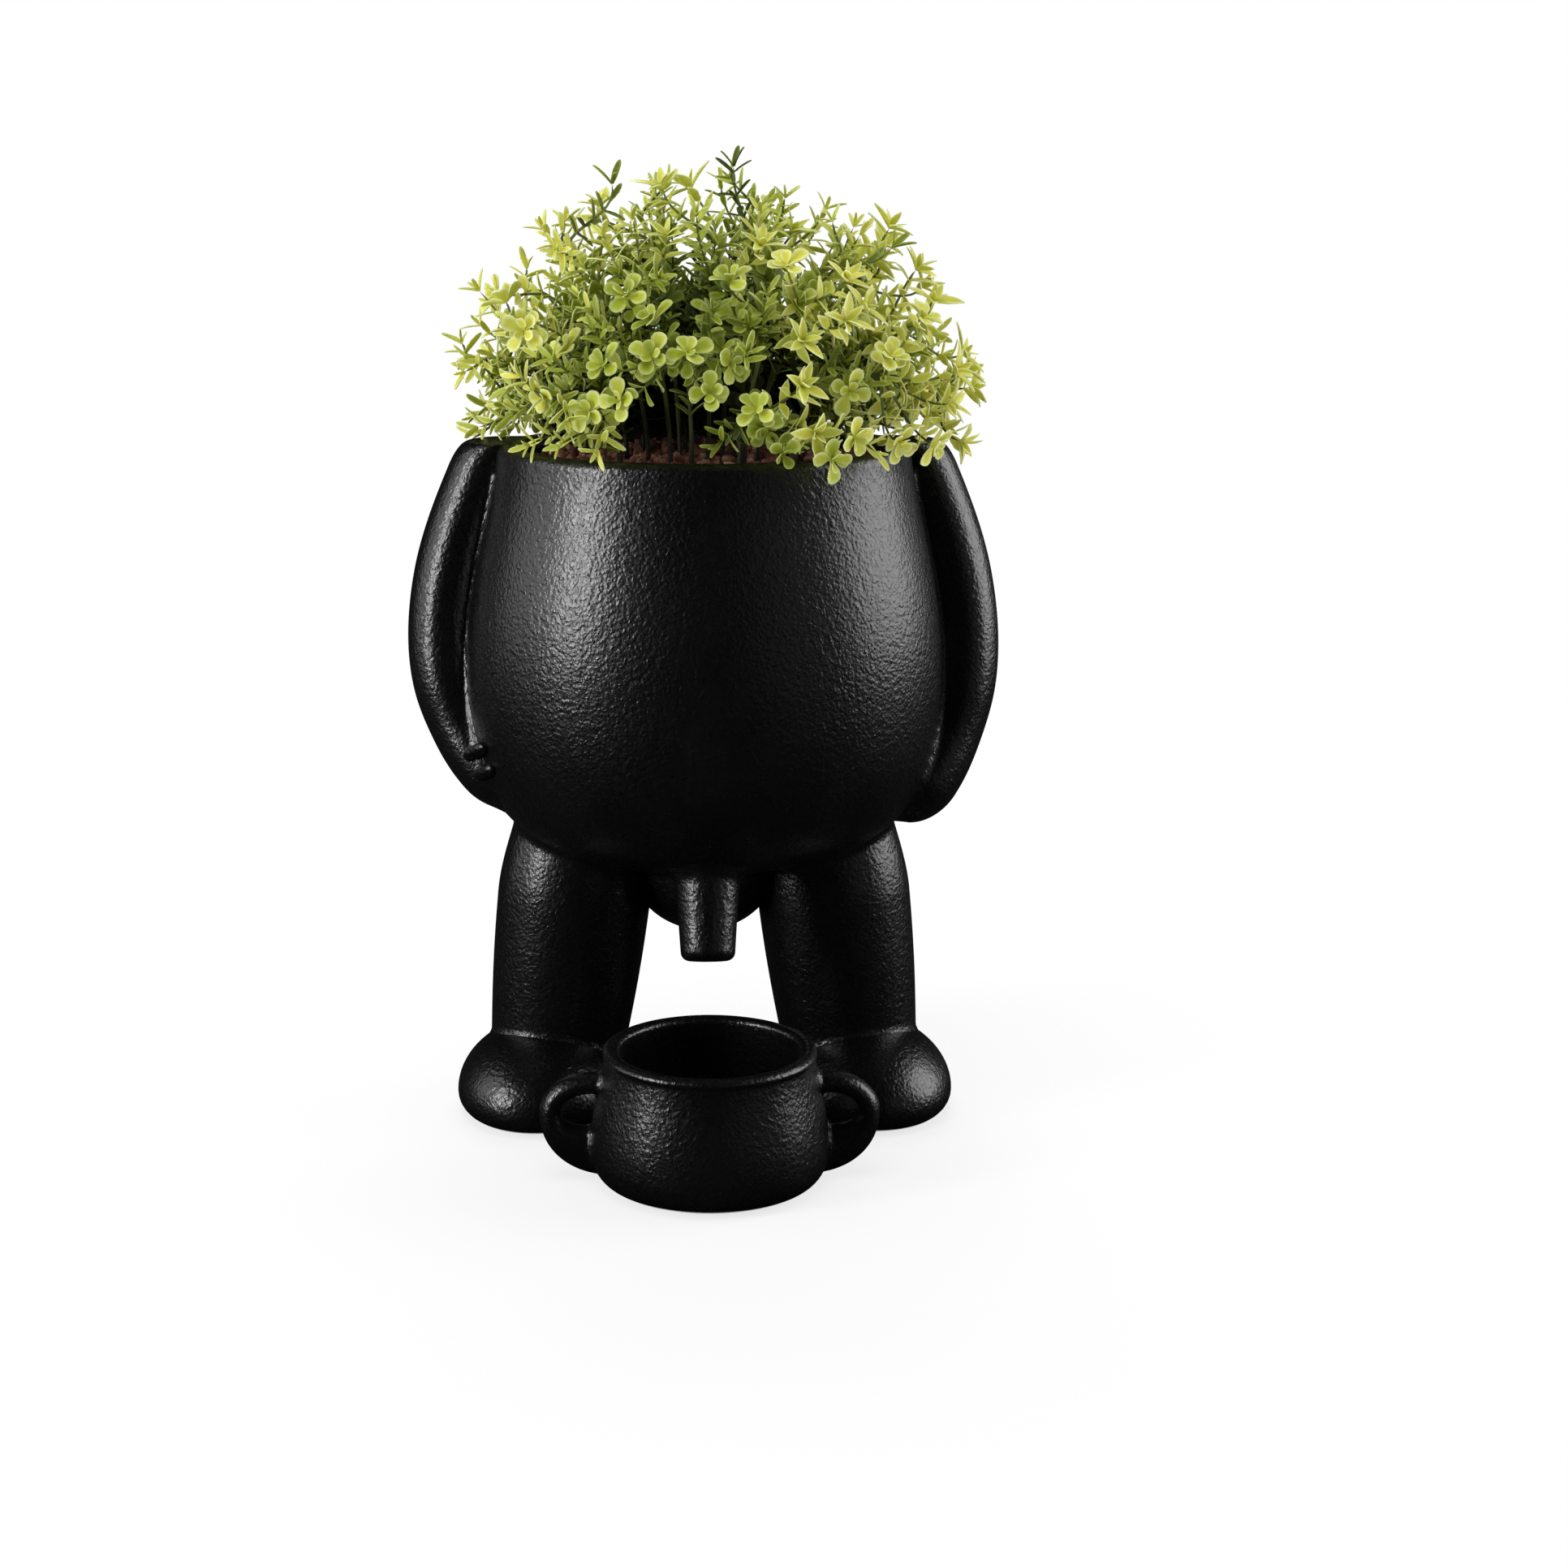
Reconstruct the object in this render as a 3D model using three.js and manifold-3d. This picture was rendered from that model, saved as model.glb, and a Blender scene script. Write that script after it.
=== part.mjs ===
// A novelty planter: a headless round-bellied figure whose belly is the pot. A spout under the belly
// drains into a small two-handled catch pot, and a coir plug with foliage sprigs drops into the mouth.
// Millimetres, +Z up, the figure faces -Y. Left and right are as seen from the front.
import * as THREE from "three";
import { mergeVertices } from "three/addons/utils/BufferGeometryUtils.js";
import Module from "manifold-3d";

const wasm = await Module();
wasm.setup();

// Belly pot: levels are heights above the floor that the figure stands on
const potHeight = 125;
const bellyWidth = 89;
const bellyDepth = 85;
const rimWidth = 76;
const bellyLevel = 82;
const undersideLevel = 46.5;
const wall = 4;
const floorThickness = 7.5;
const floorWidth = 60;

// How full the belly's curves are, as shares of the way between their ends
const undersideFullness = 0.77;
const lowerFullness = 0.27;
const upperFullness = 0.43;
const neckFullness = 0.3;
const neckFlare = 1.6;
const cavityFullness = 0.4;

// Arms: how far they stand off the belly, and where the hands end above the belly's underside
const armStandOff = 10.5;
const armThickness = 13;
const armBreadth = 18;
const armSetBack = 5.5;
const shoulderBulge = 9.3;
const shoulderTrim = 2.5;
const elbowDrop = 6;
const handTuck = { left: 12.6, right: 9.6 };
const handRise = { left: 14.4, right: 9.1 };
const handForward = { left: 12, right: 10 };
const elbowTurnShare = 0.45;
const shoulderRoundShare = 0.1;
const handRoundShare = 0.13;
const thumbLength = 9;
const thumbThickness = 5;
const thumbRoundShare = 0.3;
const wristShare = 0.8;

// Legs and feet: the legs' axes start in from the belly's sides and splay out to the ankles
const legTopDiameter = 29;
const legAnkleDiameter = 25.2;
const hipInset = 20.75;
const ankleSplay = 4.4;
const ankleLevel = 8.5;
const footWidth = 32;
const footLength = 41;
const footHeight = 16;
const footOutset = 2.4;
const footForward = 6;
const soleEdge = 4;
const toeOut = 7;

// Seat: the rounded bottom between the legs, which laps over both before they cut it
const seatLap = 5.25;
const seatDepth = 35;
const seatHeight = 27;
const seatDrop = 14.5;
const seatSetBack = 4;

// Drain
const spoutLength = 15.5;
const spoutRootDiameter = 12.2;
const spoutTipDiameter = 9.8;
const spoutTipRound = 1.6;
const spoutTilt = 20;
const spoutSetBack = 16.5;
const drainBore = 5;
const screenDiameter = 14;
const screenThickness = 1.2;
const screenHole = 1.8;
const screenHoleRing = 4.1;

// Catch pot
const catchHeight = 24.1;
const catchWidth = 42;
const catchWidestLevel = 6.3;
const catchFootRound = 5.4;
const catchRimWidth = 37.6;
const catchLip = 2.9;
const catchLipHeight = 1.9;
const lipOverhang = 0.3;
const lipWrapAngle = 50;
const catchWall = 2.6;
const catchFloor = 3;
const catchNestle = 2.9;
const handleReach = 8.85;
const handleThickness = 3.7;
const handleFootThickness = 6.4;
const handleBreadth = 5.2;
const handleTopDrop = 6.8;
const handleFootLevel = 4;
const handleBow = 2.5;

// How full the catch pot's curves are, as shares of the way between their ends
const catchFootFullness = 0.8;
const catchBellyFullness = 0.36;
const catchShoulderWidthShare = 0.2;
const catchShoulderLevelShare = 0.7;

// Coir plug and pebble bed
const plugDrop = 5;
const plugTaper = 6.3;
const plugTaperHeight = 22;
const bedThickness = 1.6;
const pebbleCount = 12;
const pebbleSize = 4.6;
const pebbleLongShare = 1.1;
const pebbleBroadShare = 0.85;
const pebbleFlatShare = 0.6;

// Foliage
const sprigCount = 24;
const foliageWidth = 106;
const foliageDepth = 84;
const foliageHeight = 52;
const foliageSkirt = 5;
const lowestSprigAngle = 90;
const socketMargin = 7.3;
const socketDepth = 5;
const stemDiameter = 1.6;
const stemRise = 15;
const stemArch = 5;
const stemReachShare = 0.66;
const leafPairs = 4;
const crownLeaves = 2;
const crownShare = 0.985;
const crownLeafShare = 0.8;
const leafLength = 12.5;
const leafWidth = 6;
const leafThickness = 1;
const shortestLeaf = 4;
const leafTrimShare = 0.88;
const tipInsetShare = 0.7;
const leafSpread = 52;
const crownSpread = 28;
const shootLength = 12;
const shootDiameter = 1.2;
const shootSpread = 58;
const shootLeaves = 4;
const shootLeafLength = 8.5;
const shootLeafSpread = 50;

// Clearances: luted or seated pieces, the plug in the mouth, and leaf to leaf
const seatGap = 0.3;
const plugClearance = 0.7;
const leafGap = 0.6;

// How finely round shapes are divided
const bellySegments = 32;
const catchSegments = 24;
const stemSides = 5;
const shootSides = 4;
const stemSamples = 24;

const radians = THREE.MathUtils.degToRad;
const lerp = THREE.MathUtils.lerp;
const goldenAngle = Math.PI * (3 - Math.sqrt(5));
const acrossFigure = new THREE.Vector3(0, 1, 0);
const sides = { left: -1, right: 1 };

// Solids: a closed geometry as a manifold, and back
function solidOf(geometry) {
  const bare = geometry.clone();
  bare.deleteAttribute("normal");
  bare.deleteAttribute("uv");
  const merged = mergeVertices(bare, 1e-4);
  return new wasm.Manifold(
    new wasm.Mesh({
      numProp: 3,
      vertProperties: merged.attributes.position.array,
      triVerts: new Uint32Array(merged.index.array),
    }),
  );
}

function geometryOf(solid) {
  const mesh = solid.getMesh();
  return new THREE.BufferGeometry()
    .setAttribute("position", new THREE.BufferAttribute(mesh.vertProperties, 3))
    .setIndex(new THREE.BufferAttribute(mesh.triVerts, 1));
}

function cut(geometry, ...tools) {
  return geometryOf(tools.reduce((solid, tool) => solid.subtract(solidOf(tool)), solidOf(geometry)));
}

function join(...geometries) {
  return geometryOf(geometries.map(solidOf).reduce((whole, solid) => whole.add(solid)));
}

// Profiles: points, arcs in degrees and curves, turned about the Z axis
const at = (x, y) => new THREE.Vector2(x, y);
const bezier = (steps, ...points) => new THREE.CubicBezierCurve(...points).getPoints(steps);

function arc(x, y, radius, from, to, steps) {
  return Array.from({ length: steps + 1 }, (_, i) => {
    const angle = radians(lerp(from, to, i / steps));
    return at(x + radius * Math.cos(angle), y + radius * Math.sin(angle));
  });
}

function turned(points, segments) {
  return new THREE.LatheGeometry(points, segments).rotateX(Math.PI / 2);
}

function upright(radius, height, segments) {
  return new THREE.CylinderGeometry(radius, radius, height, segments).rotateX(Math.PI / 2);
}

// Where a ring lies along a limb: closer together towards the ends
const ringShare = (ring, rings) => 0.5 - Math.cos((Math.PI * ring) / rings) / 2;

// A round limb along a plane curve. sectionAt gives its half-thickness in the plane and half-breadth across.
function limb(curve, across, sectionAt, rings, facets) {
  const geometry = new THREE.CylinderGeometry(1, 1, 1, facets, rings);
  const position = geometry.attributes.position;
  const point = new THREE.Vector3();
  const inPlane = new THREE.Vector3();
  for (let i = 0; i < position.count; i++) {
    const along = ringShare(position.getY(i) + 0.5, 1);
    const [thick, broad] = sectionAt(along);
    curve.getPoint(along, point);
    inPlane.crossVectors(across, curve.getTangent(along));
    point.addScaledVector(inPlane, position.getX(i) * thick);
    point.addScaledVector(across, -position.getZ(i) * broad);
    position.setXYZ(i, point.x, point.y, point.z);
  }
  return geometry;
}

// Shrinks a section to a round end over the first and last share of a limb
function roundEnds(along, startShare, endShare) {
  const tip = 0.12;
  const quarter = (share) => Math.sqrt(Math.max(0, 1 - (1 - share) ** 2));
  const start = quarter(Math.min(1, along / startShare));
  const end = quarter(Math.min(1, (1 - along) / endShare));
  return lerp(tip, 1, start * end);
}

// Belly pot
const rimRadius = rimWidth / 2;
const bellyRadius = bellyWidth / 2;
const depthRatio = bellyDepth / bellyWidth;
const floorLevel = undersideLevel + floorThickness;
const lipLevel = potHeight - wall / 2;

// The neck's curve from the widest level up to the lip
function neckCurve(belly, rim, steps) {
  const height = lipLevel - bellyLevel;
  return bezier(
    steps,
    at(belly, bellyLevel),
    at(belly, bellyLevel + height * upperFullness),
    at(rim + neckFlare, lipLevel - height * neckFullness),
    at(rim, lipLevel),
  );
}

// The outside from the axis under the belly to the lip, grown by a gap where a neighbour is cut by it
function bellyOutline(grow = 0) {
  const belly = bellyRadius + grow;
  const bottom = undersideLevel - grow;
  const lower = bezier(
    8,
    at(0, bottom),
    at(belly * undersideFullness, bottom),
    at(belly, lerp(bottom, bellyLevel, lowerFullness)),
    at(belly, bellyLevel),
  );
  return [...lower, ...neckCurve(belly, rimRadius + grow, 6).slice(1)];
}

function cavityOutline() {
  const belly = bellyRadius - wall;
  const floorRadius = floorWidth / 2;
  const lower = bezier(
    4,
    at(belly, bellyLevel),
    at(belly, lerp(floorLevel, bellyLevel, cavityFullness)),
    at((floorRadius + belly) / 2, floorLevel),
    at(floorRadius, floorLevel),
  );
  const neck = neckCurve(belly, rimRadius - wall, 4).reverse();
  return [...neck.slice(1), ...lower.slice(1), at(0, floorLevel)];
}

// The level of the belly's underside at a distance from its axis
function undersideAt(radius) {
  const outline = bellyOutline();
  const i = Math.max(1, outline.findIndex((point) => point.x >= radius));
  const [inner, outer] = [outline[i - 1], outline[i]];
  return lerp(inner.y, outer.y, (radius - inner.x) / (outer.x - inner.x));
}

const lip = arc(rimRadius - wall / 2, lipLevel, wall / 2, 0, 180, 4).slice(1);
const bellyShell = turned([...bellyOutline(), ...lip, ...cavityOutline()], bellySegments);
bellyShell.scale(1, depthRatio, 1);

// The belly without its hollow, grown by the luting gap: what its neighbours are cut by
const grownLip = arc(rimRadius - wall / 2, lipLevel, wall / 2 + seatGap, 0, 90, 2).slice(1);
const grownProfile = [...bellyOutline(seatGap), ...grownLip, at(0, potHeight + seatGap)];
const grownBelly = turned(grownProfile, bellySegments).scale(1, depthRatio, 1);

// Drain spout: a tapered tube on a line that leans forward under the belly
const spoutForward = bellyDepth / 2 - spoutSetBack;
const spoutRoot = new THREE.Vector3(0, -spoutForward, undersideAt(spoutForward / depthRatio));
const spoutWall = (spoutTipDiameter - drainBore) / 2;
const tipRound = Math.min(spoutTipRound, 0.8 * spoutWall);

function alongSpout(geometry) {
  return geometry.rotateX(-radians(spoutTilt)).translate(spoutRoot.x, spoutRoot.y, spoutRoot.z);
}

function makeSpout() {
  const sunk = spoutRootDiameter;
  const profile = [
    at(drainBore / 2, sunk),
    at(drainBore / 2, -spoutLength),
    ...arc(spoutTipDiameter / 2 - tipRound, tipRound - spoutLength, tipRound, -90, 0, 3),
    at(spoutRootDiameter / 2, 0),
    at(spoutRootDiameter / 2, sunk),
    at(drainBore / 2, sunk),
  ];
  return cut(alongSpout(turned(profile, 20)), grownBelly);
}

// The drain hole through the pot's floor, and the screen in its recess over the hole
const screenY = -spoutForward + (floorLevel - spoutRoot.z) * Math.tan(radians(spoutTilt));

function makeBellyPot() {
  const hole = alongSpout(upright(drainBore / 2, 2 * (floorThickness + spoutLength), 16));
  const recess = upright(screenDiameter / 2 + seatGap, 2 * (screenThickness + seatGap), 24);
  return cut(bellyShell, hole, recess.translate(0, screenY, floorLevel));
}

function makeDrainScreen() {
  const ringHoles = 6;
  const disc = new THREE.Shape().absarc(0, 0, screenDiameter / 2, 0, 2 * Math.PI);
  for (let i = 0; i <= ringHoles; i++) {
    const reach = i < ringHoles ? screenHoleRing : 0;
    const angle = (i / ringHoles) * 2 * Math.PI;
    const hole = new THREE.Path();
    hole.absarc(reach * Math.cos(angle), reach * Math.sin(angle), screenHole / 2, 0, 2 * Math.PI, true);
    disc.holes.push(hole);
  }
  const plate = { depth: screenThickness, bevelEnabled: false, curveSegments: 4 };
  return new THREE.ExtrudeGeometry(disc, plate).translate(0, screenY, floorLevel - screenThickness);
}

// Legs: slightly tapered posts, splayed from hip to ankle and run up into the belly, which cuts them off
const hipSpread = bellyWidth - 2 * hipInset;
const ankleSpread = hipSpread + 2 * ankleSplay;

function makeLeg(side, grow = 0) {
  const hipReach = (hipSpread + legTopDiameter) / 2 + seatGap;
  const top = undersideAt(Math.min(hipReach, bellyRadius)) + legTopDiameter / 4;
  const rise = (top - ankleLevel) / (undersideLevel - ankleLevel);
  const axis = new THREE.LineCurve3(
    new THREE.Vector3((side * ankleSpread) / 2, 0, ankleLevel - grow),
    new THREE.Vector3((side * lerp(ankleSpread, hipSpread, rise)) / 2, 0, top),
  );
  const radiusAt = (along) => grow + lerp(legAnkleDiameter, legTopDiameter, Math.min(1, along * rise)) / 2;
  return limb(axis, acrossFigure, (along) => [radiusAt(along), radiusAt(along)], 4, 18);
}

// Feet: low domes with a rolled edge and a flat sole, each with a socket for its leg
function makeFoot(side) {
  const radius = footWidth / 2;
  const sole = arc(radius - soleEdge, soleEdge, soleEdge, -90, 0, 3);
  const dome = arc(0, 0, 1, 0, 90, 6).map((point) =>
    at(point.x * radius, lerp(soleEdge, footHeight, point.y)),
  );
  const foot = turned([at(0, 0), ...sole, ...dome.slice(1)], 24);
  foot.scale(1, footLength / footWidth, 1).rotateZ(radians(side * toeOut));
  foot.translate(side * (ankleSpread / 2 + footOutset), -footForward, 0);
  return cut(foot, makeLeg(side, seatGap));
}

// Seat: an egg-shaped bottom, cut to lie against the belly and between the legs
function makeSeat() {
  const egg = new THREE.SphereGeometry(1, 16, 10).rotateX(Math.PI / 2);
  egg.scale((hipSpread - legTopDiameter) / 2 + seatLap, seatDepth / 2, seatHeight / 2);
  egg.translate(0, seatSetBack, undersideLevel - seatDrop + seatHeight / 2);
  return cut(egg, grownBelly, makeLeg(sides.left, seatGap), makeLeg(sides.right, seatGap));
}

// Arms: oval sweeps that lie on the belly from the rim to the hip, trimmed level with the rim
function makeArm(name) {
  const side = sides[name];
  const widest = bellyRadius + armStandOff - armThickness / 2;
  const handX = bellyRadius - handTuck[name];
  const handY = armSetBack - handForward[name];
  const elbowY = lerp(armSetBack, handY, elbowTurnShare);
  const upperX = rimRadius + shoulderBulge;
  const lowerX = (8 * widest - rimRadius - handX) / 3 - upperX;
  const axis = new THREE.CubicBezierCurve3(
    new THREE.Vector3(side * rimRadius, armSetBack, potHeight + shoulderTrim),
    new THREE.Vector3(side * upperX, armSetBack, potHeight - 2 * shoulderBulge),
    new THREE.Vector3(side * lowerX, elbowY, bellyLevel - elbowDrop),
    new THREE.Vector3(side * handX, handY, undersideLevel + handRise[name]),
  );
  const sectionAt = (along) => {
    const shrink = roundEnds(along, shoulderRoundShare, handRoundShare);
    return [(shrink * armThickness) / 2, (shrink * armBreadth) / 2];
  };
  const arm = limb(axis, acrossFigure, sectionAt, 14, 14);
  const whole = name === "left" ? join(arm, makeThumb(side, axis)) : arm;
  const aboveRim = new THREE.BoxGeometry(2 * bellyWidth, 2 * armBreadth, 2 * armThickness);
  aboveRim.translate(0, armSetBack, potHeight + armThickness);
  return cut(whole, aboveRim, grownBelly, makeLeg(side, seatGap));
}

// A thumb on the front of the hand, pointing down and in
function makeThumb(side, armAxis) {
  const half = thumbThickness / 2;
  const wrist = armAxis.getPoint(wristShare).add(new THREE.Vector3(0, half - armBreadth / 2, half));
  const axis = new THREE.LineCurve3(
    wrist.clone().add(new THREE.Vector3(side * half, half / 2, 0)),
    wrist.clone().add(new THREE.Vector3(-side * half, 0, -thumbLength)),
  );
  const sectionAt = (along) => {
    const radius = half * roundEnds(along, thumbRoundShare, thumbRoundShare);
    return [radius, radius];
  };
  return limb(axis, acrossFigure, sectionAt, 6, 8);
}

// Catch pot: a squat bowl with a rolled lip and two ear handles
const catchRadius = catchWidth / 2;
const catchBase = catchRadius - catchFootRound;
const catchNeck = catchRimWidth / 2 - lipOverhang;
const catchNeckLevel = catchHeight - catchLipHeight;
const catchLipLevel = catchHeight - catchLipHeight / 2;
const catchForward = footForward + footLength / 2 + catchRadius - catchNestle;

function catchOutline(grow = 0) {
  const widest = catchRadius + grow;
  const foot = bezier(
    5,
    at(catchBase, -grow),
    at(lerp(catchBase, widest, catchFootFullness), -grow),
    at(widest, catchWidestLevel / 2),
    at(widest, catchWidestLevel),
  );
  const shoulder = bezier(
    4,
    at(widest, catchWidestLevel),
    at(widest, lerp(catchWidestLevel, catchNeckLevel, catchBellyFullness)),
    at(
      lerp(catchNeck, catchRadius, catchShoulderWidthShare) + grow,
      lerp(catchWidestLevel, catchNeckLevel, catchShoulderLevelShare),
    ),
    at(catchNeck + grow, catchNeckLevel),
  );
  const lipSize = at(catchLip / 2 + grow, catchLipHeight / 2 + grow);
  const lipCentre = at((catchRimWidth - catchLip) / 2, catchLipLevel);
  const roll = arc(0, 0, 1, -lipWrapAngle, 90, 5).map((point) => point.multiply(lipSize).add(lipCentre));
  return [at(0, -grow), ...foot, ...shoulder.slice(1), ...roll];
}

function makeCatchBowl() {
  const inside = [
    at(catchRimWidth / 2 - catchLip, catchLipLevel),
    at(catchNeck - catchWall, catchNeckLevel),
    at(catchRadius - catchWall, catchWidestLevel + 1),
    at(catchBase, catchFloor),
    at(0, catchFloor),
  ];
  return turned([...catchOutline(), ...inside], catchSegments);
}

function makeCatchHandle(side) {
  const top = catchHeight - handleTopDrop;
  const reach = catchRadius + handleReach - handleThickness / 2;
  const rootX = catchNeck - catchWall / 2;
  const bowX = (reach - rootX / 4) / 0.75;
  const axis = new THREE.CubicBezierCurve3(
    new THREE.Vector3(side * rootX, 0, top),
    new THREE.Vector3(side * bowX, 0, top + handleBow),
    new THREE.Vector3(side * bowX, 0, handleFootLevel - handleBow),
    new THREE.Vector3(side * rootX, 0, handleFootLevel),
  );
  const sectionAt = (along) => {
    const lower = THREE.MathUtils.smoothstep(along, 0.5, 1);
    return [lerp(handleThickness, handleFootThickness, lower) / 2, handleBreadth / 2];
  };
  const handle = limb(axis, acrossFigure, sectionAt, 12, 10);
  return cut(handle, turned([...catchOutline(seatGap), at(0, catchHeight + seatGap)], catchSegments));
}

// Coir plug: stands on the pot's floor and fills the mouth, with a socket for each sprig
const plugTop = potHeight - plugDrop;
const plugRadius = rimRadius - wall - plugClearance;
const plugFoot = floorLevel + seatGap;

function stemHoles(stems, level, depth) {
  const radius = (stemDiameter / 2 + seatGap) / Math.cos(Math.PI / stemSides);
  return stems.map(({ socket }) => {
    return upright(radius, 2 * depth, stemSides).translate(socket.x, socket.y, level);
  });
}

function makePlug(stems) {
  const profile = [
    at(0, plugFoot),
    at(plugRadius - plugTaper, plugFoot),
    at(plugRadius, plugFoot + plugTaperHeight),
    at(plugRadius, plugTop),
    at(0, plugTop),
  ];
  const plug = turned(profile, bellySegments).scale(1, depthRatio, 1);
  return cut(plug, ...stemHoles(stems, plugTop, socketDepth));
}

// Pebble bed: a layer of small stones bedded together round the stems
const bedFoot = plugTop + seatGap;
const bedTop = bedFoot + bedThickness;

function makePebbleBed(stems) {
  const profile = [at(0, bedFoot), at(plugRadius, bedFoot), at(plugRadius, bedTop), at(0, bedTop)];
  const layer = turned(profile, bellySegments).scale(1, depthRatio, 1);
  const stones = Array.from({ length: pebbleCount }, (_, i) => {
    const reach = (plugRadius - pebbleSize) * Math.sqrt((i + 0.5) / pebbleCount);
    const angle = i * goldenAngle;
    return new THREE.IcosahedronGeometry(pebbleSize / 2)
      .scale(pebbleLongShare, pebbleBroadShare, pebbleFlatShare)
      .rotateZ(angle)
      .translate(reach * Math.cos(angle), reach * Math.sin(angle) * depthRatio, bedTop);
  });
  return cut(join(layer, ...stones), ...stemHoles(stems, bedTop, bedThickness + pebbleSize));
}

// Foliage: each stem leaves its socket upright and arches out to its own point of a dome over the rim
const domeLevel = potHeight + foliageSkirt;
const tipInset = tipInsetShare * leafLength;

function makeStem(i) {
  const lowest = radians(lowestSprigAngle);
  const fromTop = Math.acos(1 - ((i + 0.5) / sprigCount) * (1 - Math.cos(lowest)));
  const turn = i * goldenAngle;
  const socketReach = ((plugRadius - socketMargin) * fromTop) / lowest;
  const socket = new THREE.Vector3(
    socketReach * Math.cos(turn),
    socketReach * Math.sin(turn) * depthRatio,
    plugTop,
  );
  const tip = new THREE.Vector3(
    (foliageWidth / 2 - tipInset) * Math.sin(fromTop) * Math.cos(turn),
    (foliageDepth / 2 - tipInset) * Math.sin(fromTop) * Math.sin(turn),
    domeLevel + (foliageHeight - foliageSkirt - tipInset) * Math.cos(fromTop),
  );
  const reach = tip.clone().multiplyScalar(stemReachShare);
  reach.setZ(lerp(domeLevel, tip.z, stemReachShare) + stemArch);
  const foot = socket.clone().setZ(plugTop - socketDepth + seatGap);
  const curve = new THREE.CurvePath();
  curve.add(new THREE.LineCurve3(foot, socket));
  curve.add(new THREE.CubicBezierCurve3(socket, socket.clone().setZ(plugTop + stemRise), reach, tip));
  const sideways = new THREE.Vector3(-tip.y, tip.x, 0).normalize();
  return { socket, curve, sideways, samples: curve.getSpacedPoints(stemSamples) };
}

const stems = Array.from({ length: sprigCount }, (_, i) => makeStem(i));

function distanceToStem(point, stem) {
  return Math.min(...stem.samples.map((sample) => sample.distanceTo(point)));
}

function insideDome(point) {
  const x = point.x / (foliageWidth / 2);
  const y = point.y / (foliageDepth / 2);
  const z = Math.max(0, point.z - domeLevel) / (foliageHeight - foliageSkirt);
  return Math.hypot(x, y, z) <= 1;
}

// A leaf point has room when it is inside the dome, when every other stem is further off than its own by
// a leaf's thickness and gap, and when it clears the pebbles inside the mouth and the rim outside it
function hasRoom(point, own) {
  if (!insideDome(point)) return false;
  const planRadius = Math.hypot(point.x, point.y / depthRatio);
  const insideMouth = planRadius < plugRadius - leafWidth;
  const ground = insideMouth ? bedTop + (pebbleSize * pebbleFlatShare) / 2 : potHeight;
  if (point.z < ground + leafGap + leafThickness) return false;
  const limit = distanceToStem(point, own) + stemDiameter / 2 + leafThickness + leafGap;
  return stems.every((other) => other === own || distanceToStem(point, other) > limit);
}

// The sprig with one more lozenge leaf, which grows outward from a foot on the stem: as long as it has room
// for, and as it can be without closing a loop with the sprig's other leaves
function withLeaf(sprig, foot, outward, breadth, own, longest) {
  for (let length = longest; length >= shortestLeaf; length *= leafTrimShare) {
    const width = (leafWidth * length) / leafLength;
    const middle = foot.clone().addScaledVector(outward, length / 2);
    const corners = [
      foot.clone().addScaledVector(outward, length),
      middle.clone().addScaledVector(breadth, width / 2),
      middle.clone().addScaledVector(breadth, -width / 2),
    ];
    if (corners.every((corner) => hasRoom(corner, own))) {
      const face = new THREE.Vector3().crossVectors(outward, breadth);
      const blade = new THREE.OctahedronGeometry(1)
        .scale(length / 2, width / 2, leafThickness / 2)
        .applyMatrix4(new THREE.Matrix4().makeBasis(outward, breadth, face).setPosition(middle));
      const grown = sprig.add(solidOf(blade));
      if (grown.genus() === 0) return grown;
    }
  }
  return sprig;
}

// Whorls: the pairs along a stem, the crown at its tip, and the leaves round a side shoot's end
const stemWhorl = { leaves: 2, spread: leafSpread, longest: leafLength };
const crownWhorl = { leaves: crownLeaves, spread: crownSpread, longest: crownLeafShare * leafLength };
const shootWhorl = { leaves: shootLeaves, spread: shootLeafSpread, longest: shootLeafLength };

// The sprig with a whorl of leaves round a point of a stem or twig, which runs along heading
function withWhorl(sprig, own, foot, heading, side, { leaves, spread, longest }) {
  let grown = sprig;
  for (let i = 0; i < leaves; i++) {
    const aside = side.clone().applyAxisAngle(heading, (i * 2 * Math.PI) / leaves);
    const breadth = new THREE.Vector3().crossVectors(heading, aside).normalize();
    const outward = heading.clone().applyAxisAngle(breadth, radians(spread));
    grown = withLeaf(grown, foot, outward, breadth, own, longest);
  }
  return grown;
}

// The sprig with one more side shoot: a short twig, as long as it has room for, with leaves round its end
function withShoot(sprig, own, foot, heading, side) {
  const across = new THREE.Vector3().crossVectors(heading, side).normalize();
  const outward = heading.clone().applyAxisAngle(across, radians(shootSpread));
  const sectionAt = () => [shootDiameter / 2, shootDiameter / 2];
  for (let length = shootLength; length >= shortestLeaf; length *= leafTrimShare) {
    const end = foot.clone().addScaledVector(outward, length);
    if (hasRoom(end.clone().addScaledVector(outward, shortestLeaf), own)) {
      const twig = limb(new THREE.LineCurve3(foot, end), across, sectionAt, 1, shootSides);
      const bare = sprig.add(solidOf(twig));
      const whorlFoot = end.addScaledVector(outward, -shootDiameter);
      const leafy = withWhorl(bare, own, whorlFoot, outward, across, shootWhorl);
      if (bare.genus() === 0 && leafy !== bare) return leafy;
    }
  }
  return sprig;
}

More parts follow.
